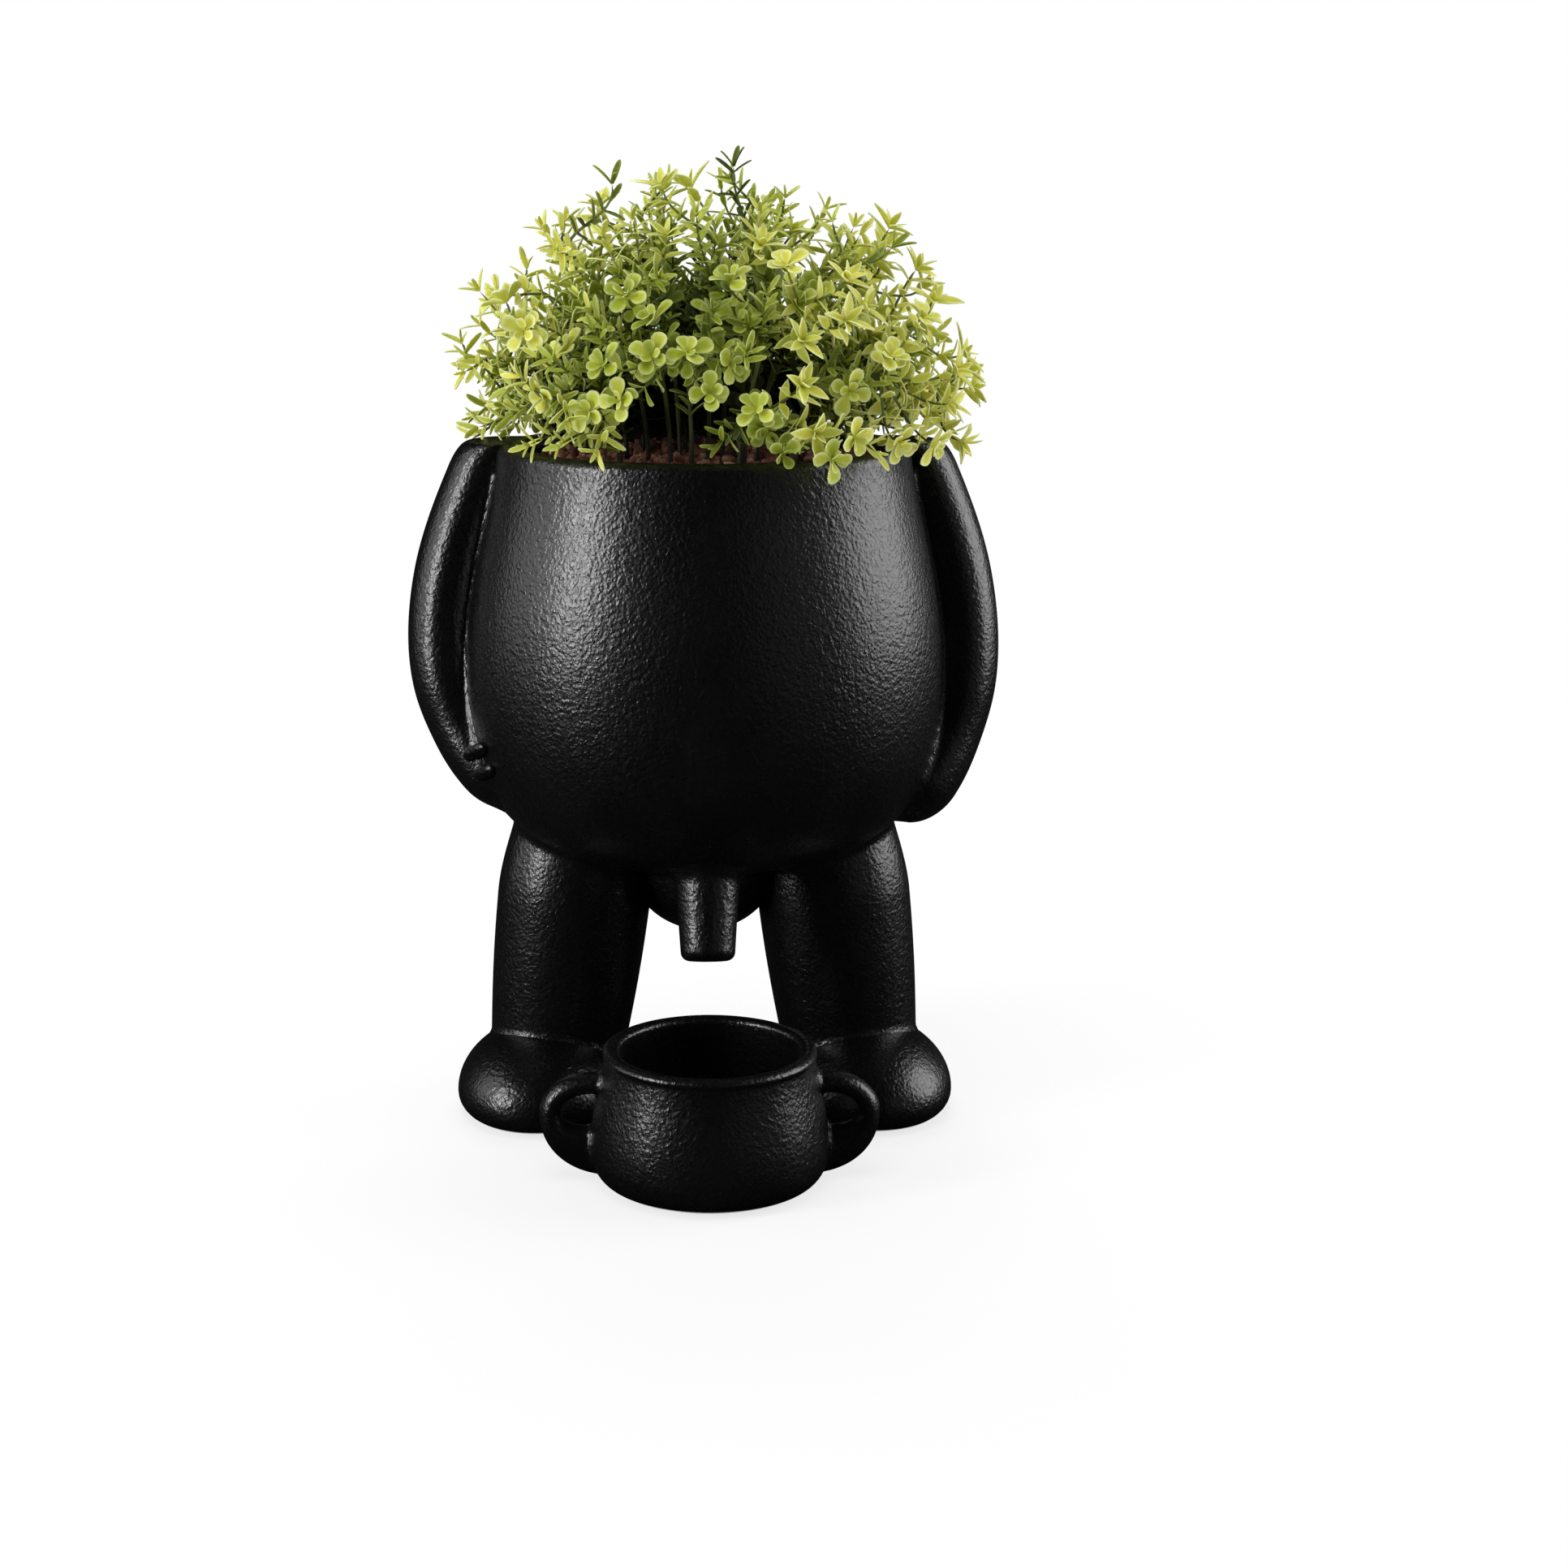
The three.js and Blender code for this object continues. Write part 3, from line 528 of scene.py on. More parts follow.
def legMesh(sign, footGround):
    shape = legShape
    ankle = Vector((sign * ankleX, axisY, shape["ankleLevel"]))
    hip = Vector((sign * hipX, axisY, undersideLevel))
    top = ankle.lerp(hip, shape["overRun"])
    stations = []
    for i in range(shape["rings"] + 1):
        along = lerp(shape["intoFoot"], 1, i / shape["rings"])
        risen = along * shape["overRun"]  # 0 at the ankle and 1 at the hip
        share = min(1, max(0, risen))
        radius = lerp(shape["ankleRadius"], shape["topRadius"], share)
        radius += shape["bulge"] * math.sin(math.pi * share)
        radius -= shape["hipTaper"] * ease(*shape["hipBand"], risen)
        stations.append(station(ankle.lerp(top, along), top - ankle, depthWise, radius, radius))
    bm = bmesh.new()
    verts = sweepSection(bm, stations, shape["sides"])
    seatOn(bm, verts, bellyGround, shape["flare"], shape["sink"])
    seatOn(bm, verts, footGround, shape["ankleFlare"], shape["sink"])
    return bm


for side, sign in sideSigns.items():
    foot = footMesh(sign)
    leg = legMesh(sign, BVHTree.FromBMesh(foot))
    glazed(side + "Foot", foot, side + "_foot")
    glazed(side + "Leg", leg, side + "_leg")

seatShape = {"lap": 5.25 * mm, "depth": 35 * mm, "height": 27 * mm, "drop": 14.5 * mm, "setBack": 4 * mm,
             "flare": 2 * mm, "sink": 1.6 * mm, "turns": 80, "rows": 56}


def makeSeat():
    shape = seatShape
    bm = bmesh.new()
    bmesh.ops.create_uvsphere(bm, u_segments=shape["turns"], v_segments=shape["rows"], radius=1)
    half = hipX - legShape["topRadius"] + shape["lap"]
    size = Matrix.Diagonal((half, shape["depth"] / 2, shape["height"] / 2, 1))
    level = undersideLevel - shape["drop"] + shape["height"] / 2
    place = Matrix.Translation((0, axisY + shape["setBack"], level))
    bmesh.ops.transform(bm, matrix=place @ size, verts=bm.verts[:])
    seatOn(bm, bm.verts[:], bellyGround, shape["flare"], shape["sink"])
    glazed("seatLobe", bm, "seat")


makeSeat()
print("legs, feet and seat made")

# arms, with the hand at the start of the axis and the shoulder at its end

armShape = {"standOff": 10.5 * mm, "thickness": 13 * mm, "breadth": 18 * mm, "setBack": 5.5 * mm,
            "elbowDrop": 6 * mm, "elbowTurn": 0.45, "handTuck": {"left": 12.6 * mm, "right": 9.6 * mm},
            "handRise": {"left": 13.2 * mm, "right": 9.1 * mm},
            "handForward": {"left": 12 * mm, "right": 10 * mm},
            "handShare": 0.11, "handEnd": 0.04, "handSwell": 0.14, "swellRun": 0.16,
            "wrist": 0.05, "wristAt": 0.24, "wristRun": 0.08, "shoulderBulge": 9.3 * mm, "overRun": 2.5 * mm,
            "shoulderRound": 4.6 * mm, "shoulderTaper": 0.12, "taperHeight": 25 * mm, "shoulderRun": 13 * mm,
            "shoulderRings": 20, "topBand": 5 * mm, "topFlare": 0.01 * mm,
            "rings": 130, "sides": 96, "flare": 1.5 * mm, "sink": 1.8 * mm}
# knuckles on the left hand: start and end of each as x and level in mm, and its radius
knuckleShape = {"bumps": [((-43.8, 69.2), (-39.6, 72.2), 1.2 * mm), ((-41.8, 65.8), (-38.2, 68.4), 1.2 * mm)],
                "rings": 16, "sides": 24, "ends": 0.06, "flare": 0.8 * mm, "sink": 0.8 * mm}


def armAxis(side):
    shape = armShape
    sign = sideSigns[side]
    y = axisY + shape["setBack"]
    rim = bellyShape["rimRadius"]
    widest = bellyRadius + shape["standOff"] - shape["thickness"] / 2
    handX = bellyRadius - shape["handTuck"][side]
    upperX = rim + shape["shoulderBulge"]
    lowerX = (8 * widest - rim - handX) / 3 - upperX  # puts the middle of the curve at the widest place
    handY = y - shape["handForward"][side]
    knots = [(handX, handY, undersideLevel + shape["handRise"][side]),
             (lowerX, lerp(y, handY, shape["elbowTurn"]), bellyShape["widestLevel"] - shape["elbowDrop"]),
             (upperX, y, rimLevel - 2 * shape["shoulderBulge"]), (rim, y, rimLevel + shape["overRun"])]
    axis = bezier(shape["rings"], *[(sign * knot[0], *knot[1:]) for knot in knots])
    lean = (axis[-1] - axis[-2]).normalized()
    more = shape["shoulderRings"]
    return axis + [axis[-1] + lean * shape["shoulderRun"] * i / more for i in range(1, more + 1)]


def overShoulder(level):  # bends what rises past the rim into a flat top level with it
    turn = armShape["shoulderRound"]
    rise = min(level - rimLevel + turn, 2 * turn)
    return level if rise <= 0 else rimLevel - turn + rise - rise * rise / (4 * turn)


def bell(value, run):
    return math.exp(-(value / run) ** 2)


def addKnuckles(bm):
    shape = knuckleShape
    armGround = BVHTree.FromBMesh(bm)
    for start, end, thick in shape["bumps"]:
        ends = []
        for x, z in (start, end):  # each end lies on whichever of the arm and the belly is in front
            eye = Vector((x * mm, -1, z * mm))
            spots = [ground.ray_cast(eye, depthWise)[0] for ground in (armGround, bellyGround)]
            ends.append(min([spot for spot in spots if spot], key=lambda spot: spot.y))
        run = ends[1] - ends[0]
        stations = []
        for i in range(shape["rings"] + 1):
            along = i / shape["rings"]
            size = thick * max(shape["ends"], math.sqrt(max(0, 1 - (2 * along - 1) ** 4)))
            stations.append(station(ends[0] + run * along, run, depthWise, size, size))
        seatOn(bm, sweepSection(bm, stations, shape["sides"]), armGround, shape["flare"], shape["sink"])


def makeArm(side):
    shape = armShape
    axis = armAxis(side)
    half, broad = shape["thickness"] / 2, shape["breadth"] / 2
    stations = []
    for i, (place, tangent) in enumerate(zip(axis, tangents(axis))):
        along = i / shape["rings"]
        curl = min(1, along / shape["handShare"])
        size = max(shape["handEnd"], math.sqrt(1 - (1 - curl) ** 2))
        size *= 1 - shape["wrist"] * bell(along - shape["wristAt"], shape["wristRun"])
        swell = 1 + shape["handSwell"] * bell(along, shape["swellRun"])
        thin = 1 - shape["shoulderTaper"] * ease(rimLevel - shape["taperHeight"], rimLevel, place.z)
        stations.append(station(place, tangent, depthWise, half * size * thin, broad * size * thin * swell))
    bm = bmesh.new()
    verts = sweepSection(bm, stations, shape["sides"])
    for vert in verts:
        vert.co.z = overShoulder(vert.co.z)
    topFoot = rimLevel - shape["topBand"]
    low = [vert for vert in verts if vert.co.z < topFoot]
    high = [vert for vert in verts if vert.co.z >= topFoot]
    seatOn(bm, low, bellyGround, shape["flare"], shape["sink"])
    seatOn(bm, high, bellyGround, shape["topFlare"], shape["sink"])
    if side == "left":
        addKnuckles(bm)
    glazed(side + "Arm", bm, side + "_arm")


for side in sideSigns:
    makeArm(side)
print("arms made")

# catch pot

catchLow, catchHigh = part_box("catch_bowl")
catchY = (catchLow.y + catchHigh.y) / 2
toCatch = Matrix.Translation((0, catchY, 0))
catchShape = {"height": 24.1 * mm, "radius": 21 * mm, "widestLevel": 6.3 * mm, "footRound": 5.4 * mm,
              "rimRadius": 18.8 * mm, "lip": 2.9 * mm, "lipHeight": 1.9 * mm, "lipArc": (-36, 180),
              "overhang": 0.3 * mm, "wall": 2.6 * mm, "floor": 3 * mm, "insideNeck": 2 * mm,
              "insideFull": 1.5 * mm, "footFull": 0.8, "bellyFull": 0.36, "shoulderWidth": 0.2,
              "shoulderLevel": 0.7, "turns": 128, "skinTop": 40 * mm, "skinTurns": 96}
handleShape = {"reach": 8.85 * mm, "thickness": 3.7 * mm, "footThickness": 9 * mm, "breadth": 5.2 * mm,
               "topDrop": 6.8 * mm, "footLevel": 5.2 * mm, "bow": 2.5 * mm, "footBow": 0.3 * mm,
               "footFrom": 0.5, "rings": 90, "sides": 48, "flare": 0.9 * mm, "sink": 1.2 * mm}
catchBase = catchShape["radius"] - catchShape["footRound"]
catchNeck = catchShape["rimRadius"] - catchShape["overhang"]
catchNeckLevel = catchShape["height"] - catchShape["lipHeight"]


def catchOutline():
    shape = catchShape
    widest, level = shape["radius"], shape["widestLevel"]
    foot = bezier(20, (catchBase, 0), (lerp(catchBase, widest, shape["footFull"]), 0),
                  (widest, level / 2), (widest, level))
    shoulder = bezier(24, (widest, level), (widest, lerp(level, catchNeckLevel, shape["bellyFull"])),
                      (lerp(catchNeck, widest, shape["shoulderWidth"]),
                       lerp(level, catchNeckLevel, shape["shoulderLevel"])), (catchNeck, catchNeckLevel))
    return [Vector((0, 0))] + foot + shoulder[1:]


def makeCatchBowl():
    shape = catchShape
    half, tall = shape["lip"] / 2, shape["lipHeight"] / 2
    roll = [Vector((shape["rimRadius"] - half + half * p.x, shape["height"] - tall + tall * p.y))
            for p in arc(0, 0, 1, *shape["lipArc"], 20)]
    inside = bezier(24, roll[-1], (catchNeck - shape["wall"], catchNeckLevel - shape["insideNeck"]),
                    (shape["radius"] - shape["wall"] + shape["insideFull"], shape["widestLevel"]),
                    (catchBase, shape["floor"]))
    profile = catchOutline() + roll + inside[1:] + [Vector((0, shape["floor"]))]
    glazed("catchBowl", spun(profile, shape["turns"], toCatch), "catch_bowl", "catch_pot")


def catchSkin():  # the outside alone, as the ground that the handles grow from
    top = catchShape["skinTop"]
    above = [Vector((catchNeck, top)), Vector((0, top))]
    return spun(catchOutline() + above, catchShape["skinTurns"], toCatch)


def makeHandle(side, ground):
    shape = handleShape
    sign = sideSigns[side]
    top = catchShape["height"] - shape["topDrop"]
    reach = catchShape["radius"] + shape["reach"] - shape["thickness"] / 2
    rootX = catchNeck - catchShape["wall"] / 2
    bowX = (reach - rootX / 4) / 0.75  # puts the middle of the curve at the reach
    knots = [(rootX, top), (bowX, top + shape["bow"]), (bowX, shape["footLevel"] - shape["footBow"]),
             (rootX, shape["footLevel"])]
    axis = bezier(shape["rings"], *[(sign * x, catchY, z) for x, z in knots])
    stations = []
    for i, (place, tangent) in enumerate(zip(axis, tangents(axis))):
        share = ease(shape["footFrom"], 1, i / shape["rings"])
        thickness = lerp(shape["thickness"], shape["footThickness"], share)
        stations.append(station(place, tangent, depthWise, thickness / 2, shape["breadth"] / 2))
    bm = bmesh.new()
    seatOn(bm, sweepSection(bm, stations, shape["sides"]), ground, shape["flare"], shape["sink"])
    glazed(side + "Handle", bm, side + "_handle", "catch_pot")


makeCatchBowl()
bowlGround = groundOf(catchSkin())
for side in sideSigns:
    makeHandle(side, bowlGround)
print("catch pot made")

# coir plug and stones

plugShape = {"drop": 5 * mm, "clearance": 0.7 * mm, "taper": 6.3 * mm, "taperHeight": 22 * mm,
             "seatGap": 0.3 * mm, "lumps": 0.45 * mm, "lumpScale": 260, "turns": 150, "steps": 24}
plugTop = rimLevel - plugShape["drop"]
plugRadius = bellyShape["rimRadius"] - bellyShape["wall"] - plugShape["clearance"]
plugFoot = floorLevel + plugShape["seatGap"]


def makePlug():
    shape = plugShape
    low = plugFoot + shape["lumps"]
    high = plugTop - shape["lumps"]
    radius = plugRadius - shape["lumps"]
    knots = [(0, low), (radius - shape["taper"], low), (radius, low + shape["taperHeight"]),
             (radius, high), (0, high)]
    points = []
    for start, end in zip(knots, knots[1:]):
        points += [Vector(start).lerp(Vector(end), i / shape["steps"]) for i in range(shape["steps"])]
    bm = spun(points + [Vector(knots[-1])], shape["turns"], toPotAxis)
    bm.normal_update()
    for vert in bm.verts:
        vert.co += vert.normal * shape["lumps"] * noise.fractal(vert.co * shape["lumpScale"], 1, 2, 3)
    finishPiece("coirPlug", bm, "plant", "coir", "coir_plug", coirFibre)


# heap and edgeHeap are how high a stone's middle lies, in shares of its size
stoneShape = {"count": 520, "edge": 120, "small": 1.5 * mm, "large": 2.7 * mm, "bed": 1.2 * mm,
              "bedTurns": 96, "heap": (0, 0.45), "edgeHeap": (0.45, 0.7), "long": (0.8, 1.2),
              "broad": (0.7, 1), "flat": 0.75, "rough": 0.06, "seed": 5}


def makeStones():
    shape = stoneShape
    draw = random.Random(shape["seed"])
    bedFoot = plugTop + plugShape["seatGap"]
    bedTop = bedFoot + shape["bed"]
    bm = rod(plugRadius - shape["small"], bedFoot, bedTop, shape["bedTurns"], toPotAxis)
    for i in range(shape["count"] + shape["edge"]):
        size = draw.uniform(shape["small"], shape["large"])
        reach = (plugRadius - size / 2) * math.sqrt(draw.random())
        angle = draw.uniform(0, math.tau)
        level = bedTop + size * draw.uniform(*shape["heap"])
        if i >= shape["count"]:  # the last ones lie side by side round the edge
            reach = plugRadius - size / 2
            angle = math.tau * i / shape["edge"]
            level = bedFoot + size * draw.uniform(*shape["edgeHeap"])
        spot = (reach * math.cos(angle), axisY + reach * depthRatio * math.sin(angle), level)
        turn = Matrix.Rotation(draw.uniform(0, math.tau), 4, Vector([draw.gauss(0, 1) for _ in range(3)]))
        long, broad = draw.uniform(*shape["long"]), draw.uniform(*shape["broad"])
        place = Matrix.Translation(spot) @ turn @ Matrix.Diagonal((long, broad, shape["flat"], 1))
        for vert in bmesh.ops.create_icosphere(bm, subdivisions=1, radius=size / 2, matrix=place)["verts"]:
            vert.co += Vector([draw.gauss(0, shape["rough"]) * size for _ in range(3)])
    finishPiece("stoneBed", bm, "plant", "red_pebble", "pebble_bed", redStone)


makePlug()
makeStones()
print("plug and stones made")

# foliage

foliageShape = {"width": 106 * mm, "depth": 84 * mm, "height": 52 * mm, "skirt": 5 * mm, "sprigs": 24,
                "tipInset": 8.75 * mm, "socketMargin": 7.3 * mm, "socketDepth": 4.7 * mm,
                "stemRise": 15 * mm, "stemArch": 5 * mm, "reach": 0.66, "stemSteps": 26,
                "shootRings": (7, 9, 11, 13), "rings": 14, "shootSpread": 58, "shootLength": 12 * mm,
                "shortest": 4 * mm, "shootSteps": 9, "twigSteps": 12, "twigLifts": 9, "tubeSides": 6,
                "stemRadius": 0.5 * mm, "twigRadius": 0.32 * mm, "tipRadius": 0.2 * mm, "sharp": 48,
                "seed": 21}
domeLevel = rimLevel + foliageShape["skirt"]
domeFoot = Vector((0, axisY, domeLevel))
goldenAngle = math.pi * (3 - math.sqrt(5))

# outline pairs are shares of the length and of the width
leafShapes = {
    "needle": {"length": 4.7 * mm, "width": 1.15 * mm, "fold": 0.26, "curl": 0.12,
               "outline": [(0, 0.4), (0.25, 0.82), (0.52, 1), (0.8, 0.84), (0.94, 0.5), (1, 0.15)]},
    "star": {"length": 5.2 * mm, "width": 1.9 * mm, "fold": 0.3, "curl": 0.14,
             "outline": [(0, 0.25), (0.2, 0.7), (0.45, 1), (0.68, 0.8), (0.87, 0.4), (1, 0.05)]},
    "round": {"length": 4.2 * mm, "width": 2.8 * mm, "fold": 0.26, "curl": 0.12,
              "outline": [(0, 0.2), (0.25, 0.32), (0.48, 0.78), (0.7, 1), (0.88, 0.86), (0.97, 0.5),
                          (1, 0.2)]},
}
leafThickness = 0.22 * mm


def leafMesh(name):
    shape = leafShapes[name]
    rows = shape["outline"]
    bm = bmesh.new()
    alongLayer, acrossLayer, _ = [bm.verts.layers.float.new(layer) for layer in leafLayers]
    bmesh.ops.create_grid(bm, x_segments=2, y_segments=len(rows) - 1, size=1)
    levels = sorted({round(vert.co.y, 4) for vert in bm.verts})
    for vert in bm.verts:
        along, width = rows[levels.index(round(vert.co.y, 4))]
        across = vert.co.x
        x = across * width * shape["width"] / 2
        z = abs(x) * shape["fold"] - shape["curl"] * shape["length"] * along ** 2
        vert.co = (x, along * shape["length"], z)
        vert[alongLayer] = along
        vert[acrossLayer] = abs(across)
    bmesh.ops.recalc_face_normals(bm, faces=bm.faces[:])
    bmesh.ops.solidify(bm, geom=bm.faces[:], thickness=leafThickness)
    bmesh.ops.recalc_face_normals(bm, faces=bm.faces[:])
    return meshFrom("leaf_" + name, bm)


leafMeshes = {name: leafMesh(name) for name in leafShapes}

# how each kind of shoot carries its leaves, with the rings of its crown as count, spread and size
shootFields = ("leaf", "gap", "spread", "toneLightAndShade", "leafy", "twig", "crown")
shootRows = {
    "needle": ("needle", 1.8 * mm, 52, 0.66, 17 * mm, 20 * mm, [(2, 40, 0.85), (2, 18, 0.6)]),
    "star": ("star", 2.6 * mm, 58, 0.84, 11 * mm, 15 * mm, [(4, 60, 1), (3, 28, 0.75)]),
    "round": ("round", 3.1 * mm, 62, 0.72, 10 * mm, 14 * mm, [(4, 68, 1), (3, 38, 0.7)]),
    # the low tones of the inner, deep and dark kinds are painted shade: dark leaves that stand in for shade
    # inside the crown
    "inner": ("needle", 2.2 * mm, 55, 0.4, 14 * mm, 18 * mm, [(4, 50, 1)]),
    "deep": ("star", 2 * mm, 60, 0.12, 14 * mm, 14 * mm, [(4, 55, 1)]),
    "dark": ("needle", 2.4 * mm, 52, 0.08, 12 * mm, 16 * mm, [(3, 34, 0.9)]),
}
shootKinds = {name: dict(zip(shootFields, row)) for name, row in shootRows.items()}
# what all kinds share; scatters are spreads of a bell curve, pairs are ranges of a factor
growth = {"ring": 2, "bare": 0.15, "tipGap": 1 * mm, "leafySpan": (0.8, 1.1), "gapSpan": (0.85, 1.15),
          "lowSize": (0.75, 1), "sizeSpan": (0.8, 1.12), "turnScatter": 0.15, "angleScatter": 0.14,
          "leanScatter": 7, "faceScatter": 0.22, "tintScatter": 0.05, "young": 0.16, "youngFrom": 0.75}
clearance = {"wallMargin": 2 * mm, "overPlug": 4 * mm, "rimMargin": 3.5 * mm, "overRim": 0.8 * mm,
             "belowRim": 6 * mm, "armX": 30 * mm, "armHalf": 11 * mm, "leafMiddle": 0.6}


def clearOfPot(point):
    room = clearance
    planRadius = Vector((point.x, (point.y - axisY) / depthRatio)).length
    if planRadius < plugRadius - room["wallMargin"]:
        return point.z > plugTop + room["overPlug"]
    overArm = abs(point.x) > room["armX"] and abs(point.y - axisY - armShape["setBack"]) < room["armHalf"]
    if planRadius < bellyShape["rimRadius"] + room["rimMargin"] or overArm:
        return point.z > rimLevel + room["overRim"]
    return point.z > rimLevel - room["belowRim"]


def tube(stems, points, thick, thin):
    reference = Vector((0.31, 0.72, 0.2))  # any direction that the stems don't follow
    stations = []
    for i, (place, tangent) in enumerate(zip(points, tangents(points))):
        radius = lerp(thick, thin, i / (len(points) - 1))
        stations.append(station(place, tangent, tangent.cross(reference).normalized(), radius, radius))
    sweepSection(stems, stations, foliageShape["tubeSides"])


def addLeaf(leaves, kind, foot, tangent, side, spread, size, toneLightAndShade, draw):
    outward = tangent * math.cos(spread) + side * math.sin(spread)
    face = (tangent - outward * tangent.dot(outward)).normalized()
    length = leafShapes[kind]["length"] * size
    middle = foot + outward * length * clearance["leafMiddle"]
    if not clearOfPot(foot + outward * length) or not clearOfPot(middle):
        return
    face = Matrix.Rotation(draw.gauss(0, growth["faceScatter"]), 3, outward) @ face
    basis = Matrix((outward.cross(face), outward, face)).transposed().to_4x4()
    count = len(leaves.verts)
    leaves.from_mesh(leafMeshes[kind])
    leaves.verts.ensure_lookup_table()
    verts = leaves.verts[count:]
    toneLightShadeLayer = leaves.verts.layers.float["leafToneLightAndShade"]
    for vert in verts:
        vert[toneLightShadeLayer] = toneLightAndShade
    bmesh.ops.transform(leaves, matrix=Matrix.Translation(foot) @ basis @ Matrix.Scale(size, 4), verts=verts)


def pathAt(points, distance):  # the place and the direction at a distance along a path
    directions = tangents(points)
    i = 0
    while i < len(points) - 2 and distance > (points[i + 1] - points[i]).length:
        distance -= (points[i + 1] - points[i]).length
        i += 1
    share = min(1, distance / (points[i + 1] - points[i]).length)
    return points[i].lerp(points[i + 1], share), directions[i].lerp(directions[i + 1], share).normalized()


def pathLength(points):
    return sum((b - a).length for a, b in zip(points, points[1:]))


def growShoot(stems, leaves, points, thick, kindName, draw, shade):
    kind = shootKinds[kindName]
    tube(stems, points, thick, foliageShape["tipRadius"])
    total = pathLength(points)

    def whorl(distance, count, spread, size, turn):
        foot, tangent = pathAt(points, distance)
        start = tangent.orthogonal().normalized()
        young = growth["young"] * (distance / total - growth["youngFrom"])
        for k in range(count):
            angle = turn + math.tau * k / count + draw.gauss(0, growth["angleScatter"])
            side = Matrix.Rotation(angle, 3, tangent) @ start
            lean = math.radians(spread + draw.gauss(0, growth["leanScatter"]))
            # a leaf's tone: its kind's tone with painted light and painted shade, paler when young, with a
            # random scatter
            toneLightAndShade = min(1, max(0, kind["toneLightAndShade"] + shade + young + draw.gauss(0, growth["tintScatter"])))
            leafSize = size * draw.uniform(*growth["sizeSpan"])
            addLeaf(leaves, kind["leaf"], foot, tangent, side, lean, leafSize, toneLightAndShade, draw)

    turn = draw.uniform(0, math.tau)
    distance = max(total - kind["leafy"] * draw.uniform(*growth["leafySpan"]), growth["bare"] * total)
    while distance < total - growth["tipGap"]:
        whorl(distance, growth["ring"], kind["spread"], draw.uniform(*growth["lowSize"]), turn)
        turn += math.pi / growth["ring"] + draw.gauss(0, growth["turnScatter"])
        distance += kind["gap"] * draw.uniform(*growth["gapSpan"])
    for count, spread, size in kind["crown"]:
        whorl(total, count, spread, size, turn)
        turn += math.pi / count


def stemPath(i):  # the same arch as the solid stem of this sprig
    shape = foliageShape
    fromTop = math.acos(1 - (i + 0.5) / shape["sprigs"])
    turn = i * goldenAngle
    out = (plugRadius - shape["socketMargin"]) * fromTop / (math.pi / 2)
    socket = Vector((out * math.cos(turn), axisY + out * math.sin(turn) * depthRatio, plugTop))
    wide = (shape["width"] / 2 - shape["tipInset"]) * math.sin(fromTop)
    deep = (shape["depth"] / 2 - shape["tipInset"]) * math.sin(fromTop)
    high = (shape["height"] - shape["skirt"] - shape["tipInset"]) * math.cos(fromTop)
    tip = Vector((wide * math.cos(turn), deep * math.sin(turn), high))
    reach = domeFoot + tip * shape["reach"] + Vector((0, 0, shape["stemArch"]))
    rise = socket + Vector((0, 0, shape["stemRise"]))
    foot = socket - Vector((0, 0, shape["socketDepth"]))
    return [foot] + bezier(shape["stemSteps"], socket, rise, reach, domeFoot + tip)


# places are from the axis and the dome's level; azimuth 0 faces the front and right is positive
crownShape = {"shoots": 185, "left": 45 * mm, "right": 48.5 * mm, "depth": 40 * mm, "height": 43.5 * mm,
              "lowest": -10, "inner": 0.66, "outer": 1.05, "turnScatter": 0.1, "room": 6.5 * mm, "seed": 4,
              "openingX": (-15 * mm, 7 * mm), "openingY": -10 * mm, "openingTop": 6 * mm,
              "topFrom": 0.66, "frontTop": 18 * mm, "frontAzimuths": (-28, 25), "leftEnd": -150,
              "rightEnd": 120}
kindMixes = {"top": ("needle", "needle", "needle", "star"), "frontLow": ("round", "needle", "round"),
             "frontHigh": ("needle", "needle", "round"),
             "right": ("star", "star", "needle", "needle", "round"),
             "left": ("needle", "needle", "needle", "needle", "round"),
             "back": ("needle", "needle", "star", "round")}
# growth inside, and low growth that closes the view through the stems and at the back, with leaves painted
# dark as shade, in mm
innerShape = {"count": 110, "reach": 0.9, "z": (-1, 15), "front": -6, "sides": 20}
lowGrowth = [{"count": 64, "x": (-34, 32), "y": (4, 30), "z": (-5, 9)},
             {"count": 50, "x": (-22, 12), "y": (16, 34), "z": (-4.5, 0.5)}]
# shoots that stand out at the front and the top, in mm; the dark ones carry leaves painted near black as
# shade
leadShoots = [
    ("round", (-17.8, -36, 12)), ("round", (-9.6, -37.4, 13.5)), ("round", (-3.6, -38, 14.2)),
    ("round", (0, -39, 7.5)), ("round", (-15.1, -37, 6)), ("round", (24.9, -35, -0.5)),
    ("star", (15.8, -35.5, 16)), ("star", (15.8, -37, 8.5)), ("star", (23.7, -27.9, 25.9)),
    ("star", (23.5, -31.5, 19)), ("star", (42.5, -22, 4)), ("star", (17.9, -37, 0.5)),
    ("needle", (-31, -27, -2.5)), ("needle", (-25.5, -31, -2)), ("needle", (-19, -34, -2.8)),
    ("round", (12.5, -37, -3)), ("round", (21, -36, -4)), ("needle", (29, -31, -3.5)),
    ("round", (33, -28, -2)), ("dark", (-16.5, -11, 42)), ("dark", (5.1, -6.5, 45)),
    ("dark", (32.8, -15, 31)),
]


def crownRadius(place):  # 1 on the outside of the crown
    shape = crownShape
    wide = shape["left"] if place.x < 0 else shape["right"]
    return Vector((place.x / wide, place.y / shape["depth"], max(0, place.z) / shape["height"])).length


def regionAt(place):
    shape = crownShape
    azimuth = math.degrees(math.atan2(place.x, -place.y))
    frontLeft, frontRight = shape["frontAzimuths"]
    if place.z > shape["topFrom"] * shape["height"]:
        return "top"
    if frontLeft < azimuth < frontRight:
        return "frontLow" if place.z < shape["frontTop"] else "frontHigh"
    if frontRight <= azimuth < shape["rightEnd"]:
        return "right"
    return "left" if shape["leftEnd"] < azimuth <= frontLeft else "back"


def kindAt(place, draw):
    return draw.choice(kindMixes[regionAt(place)])


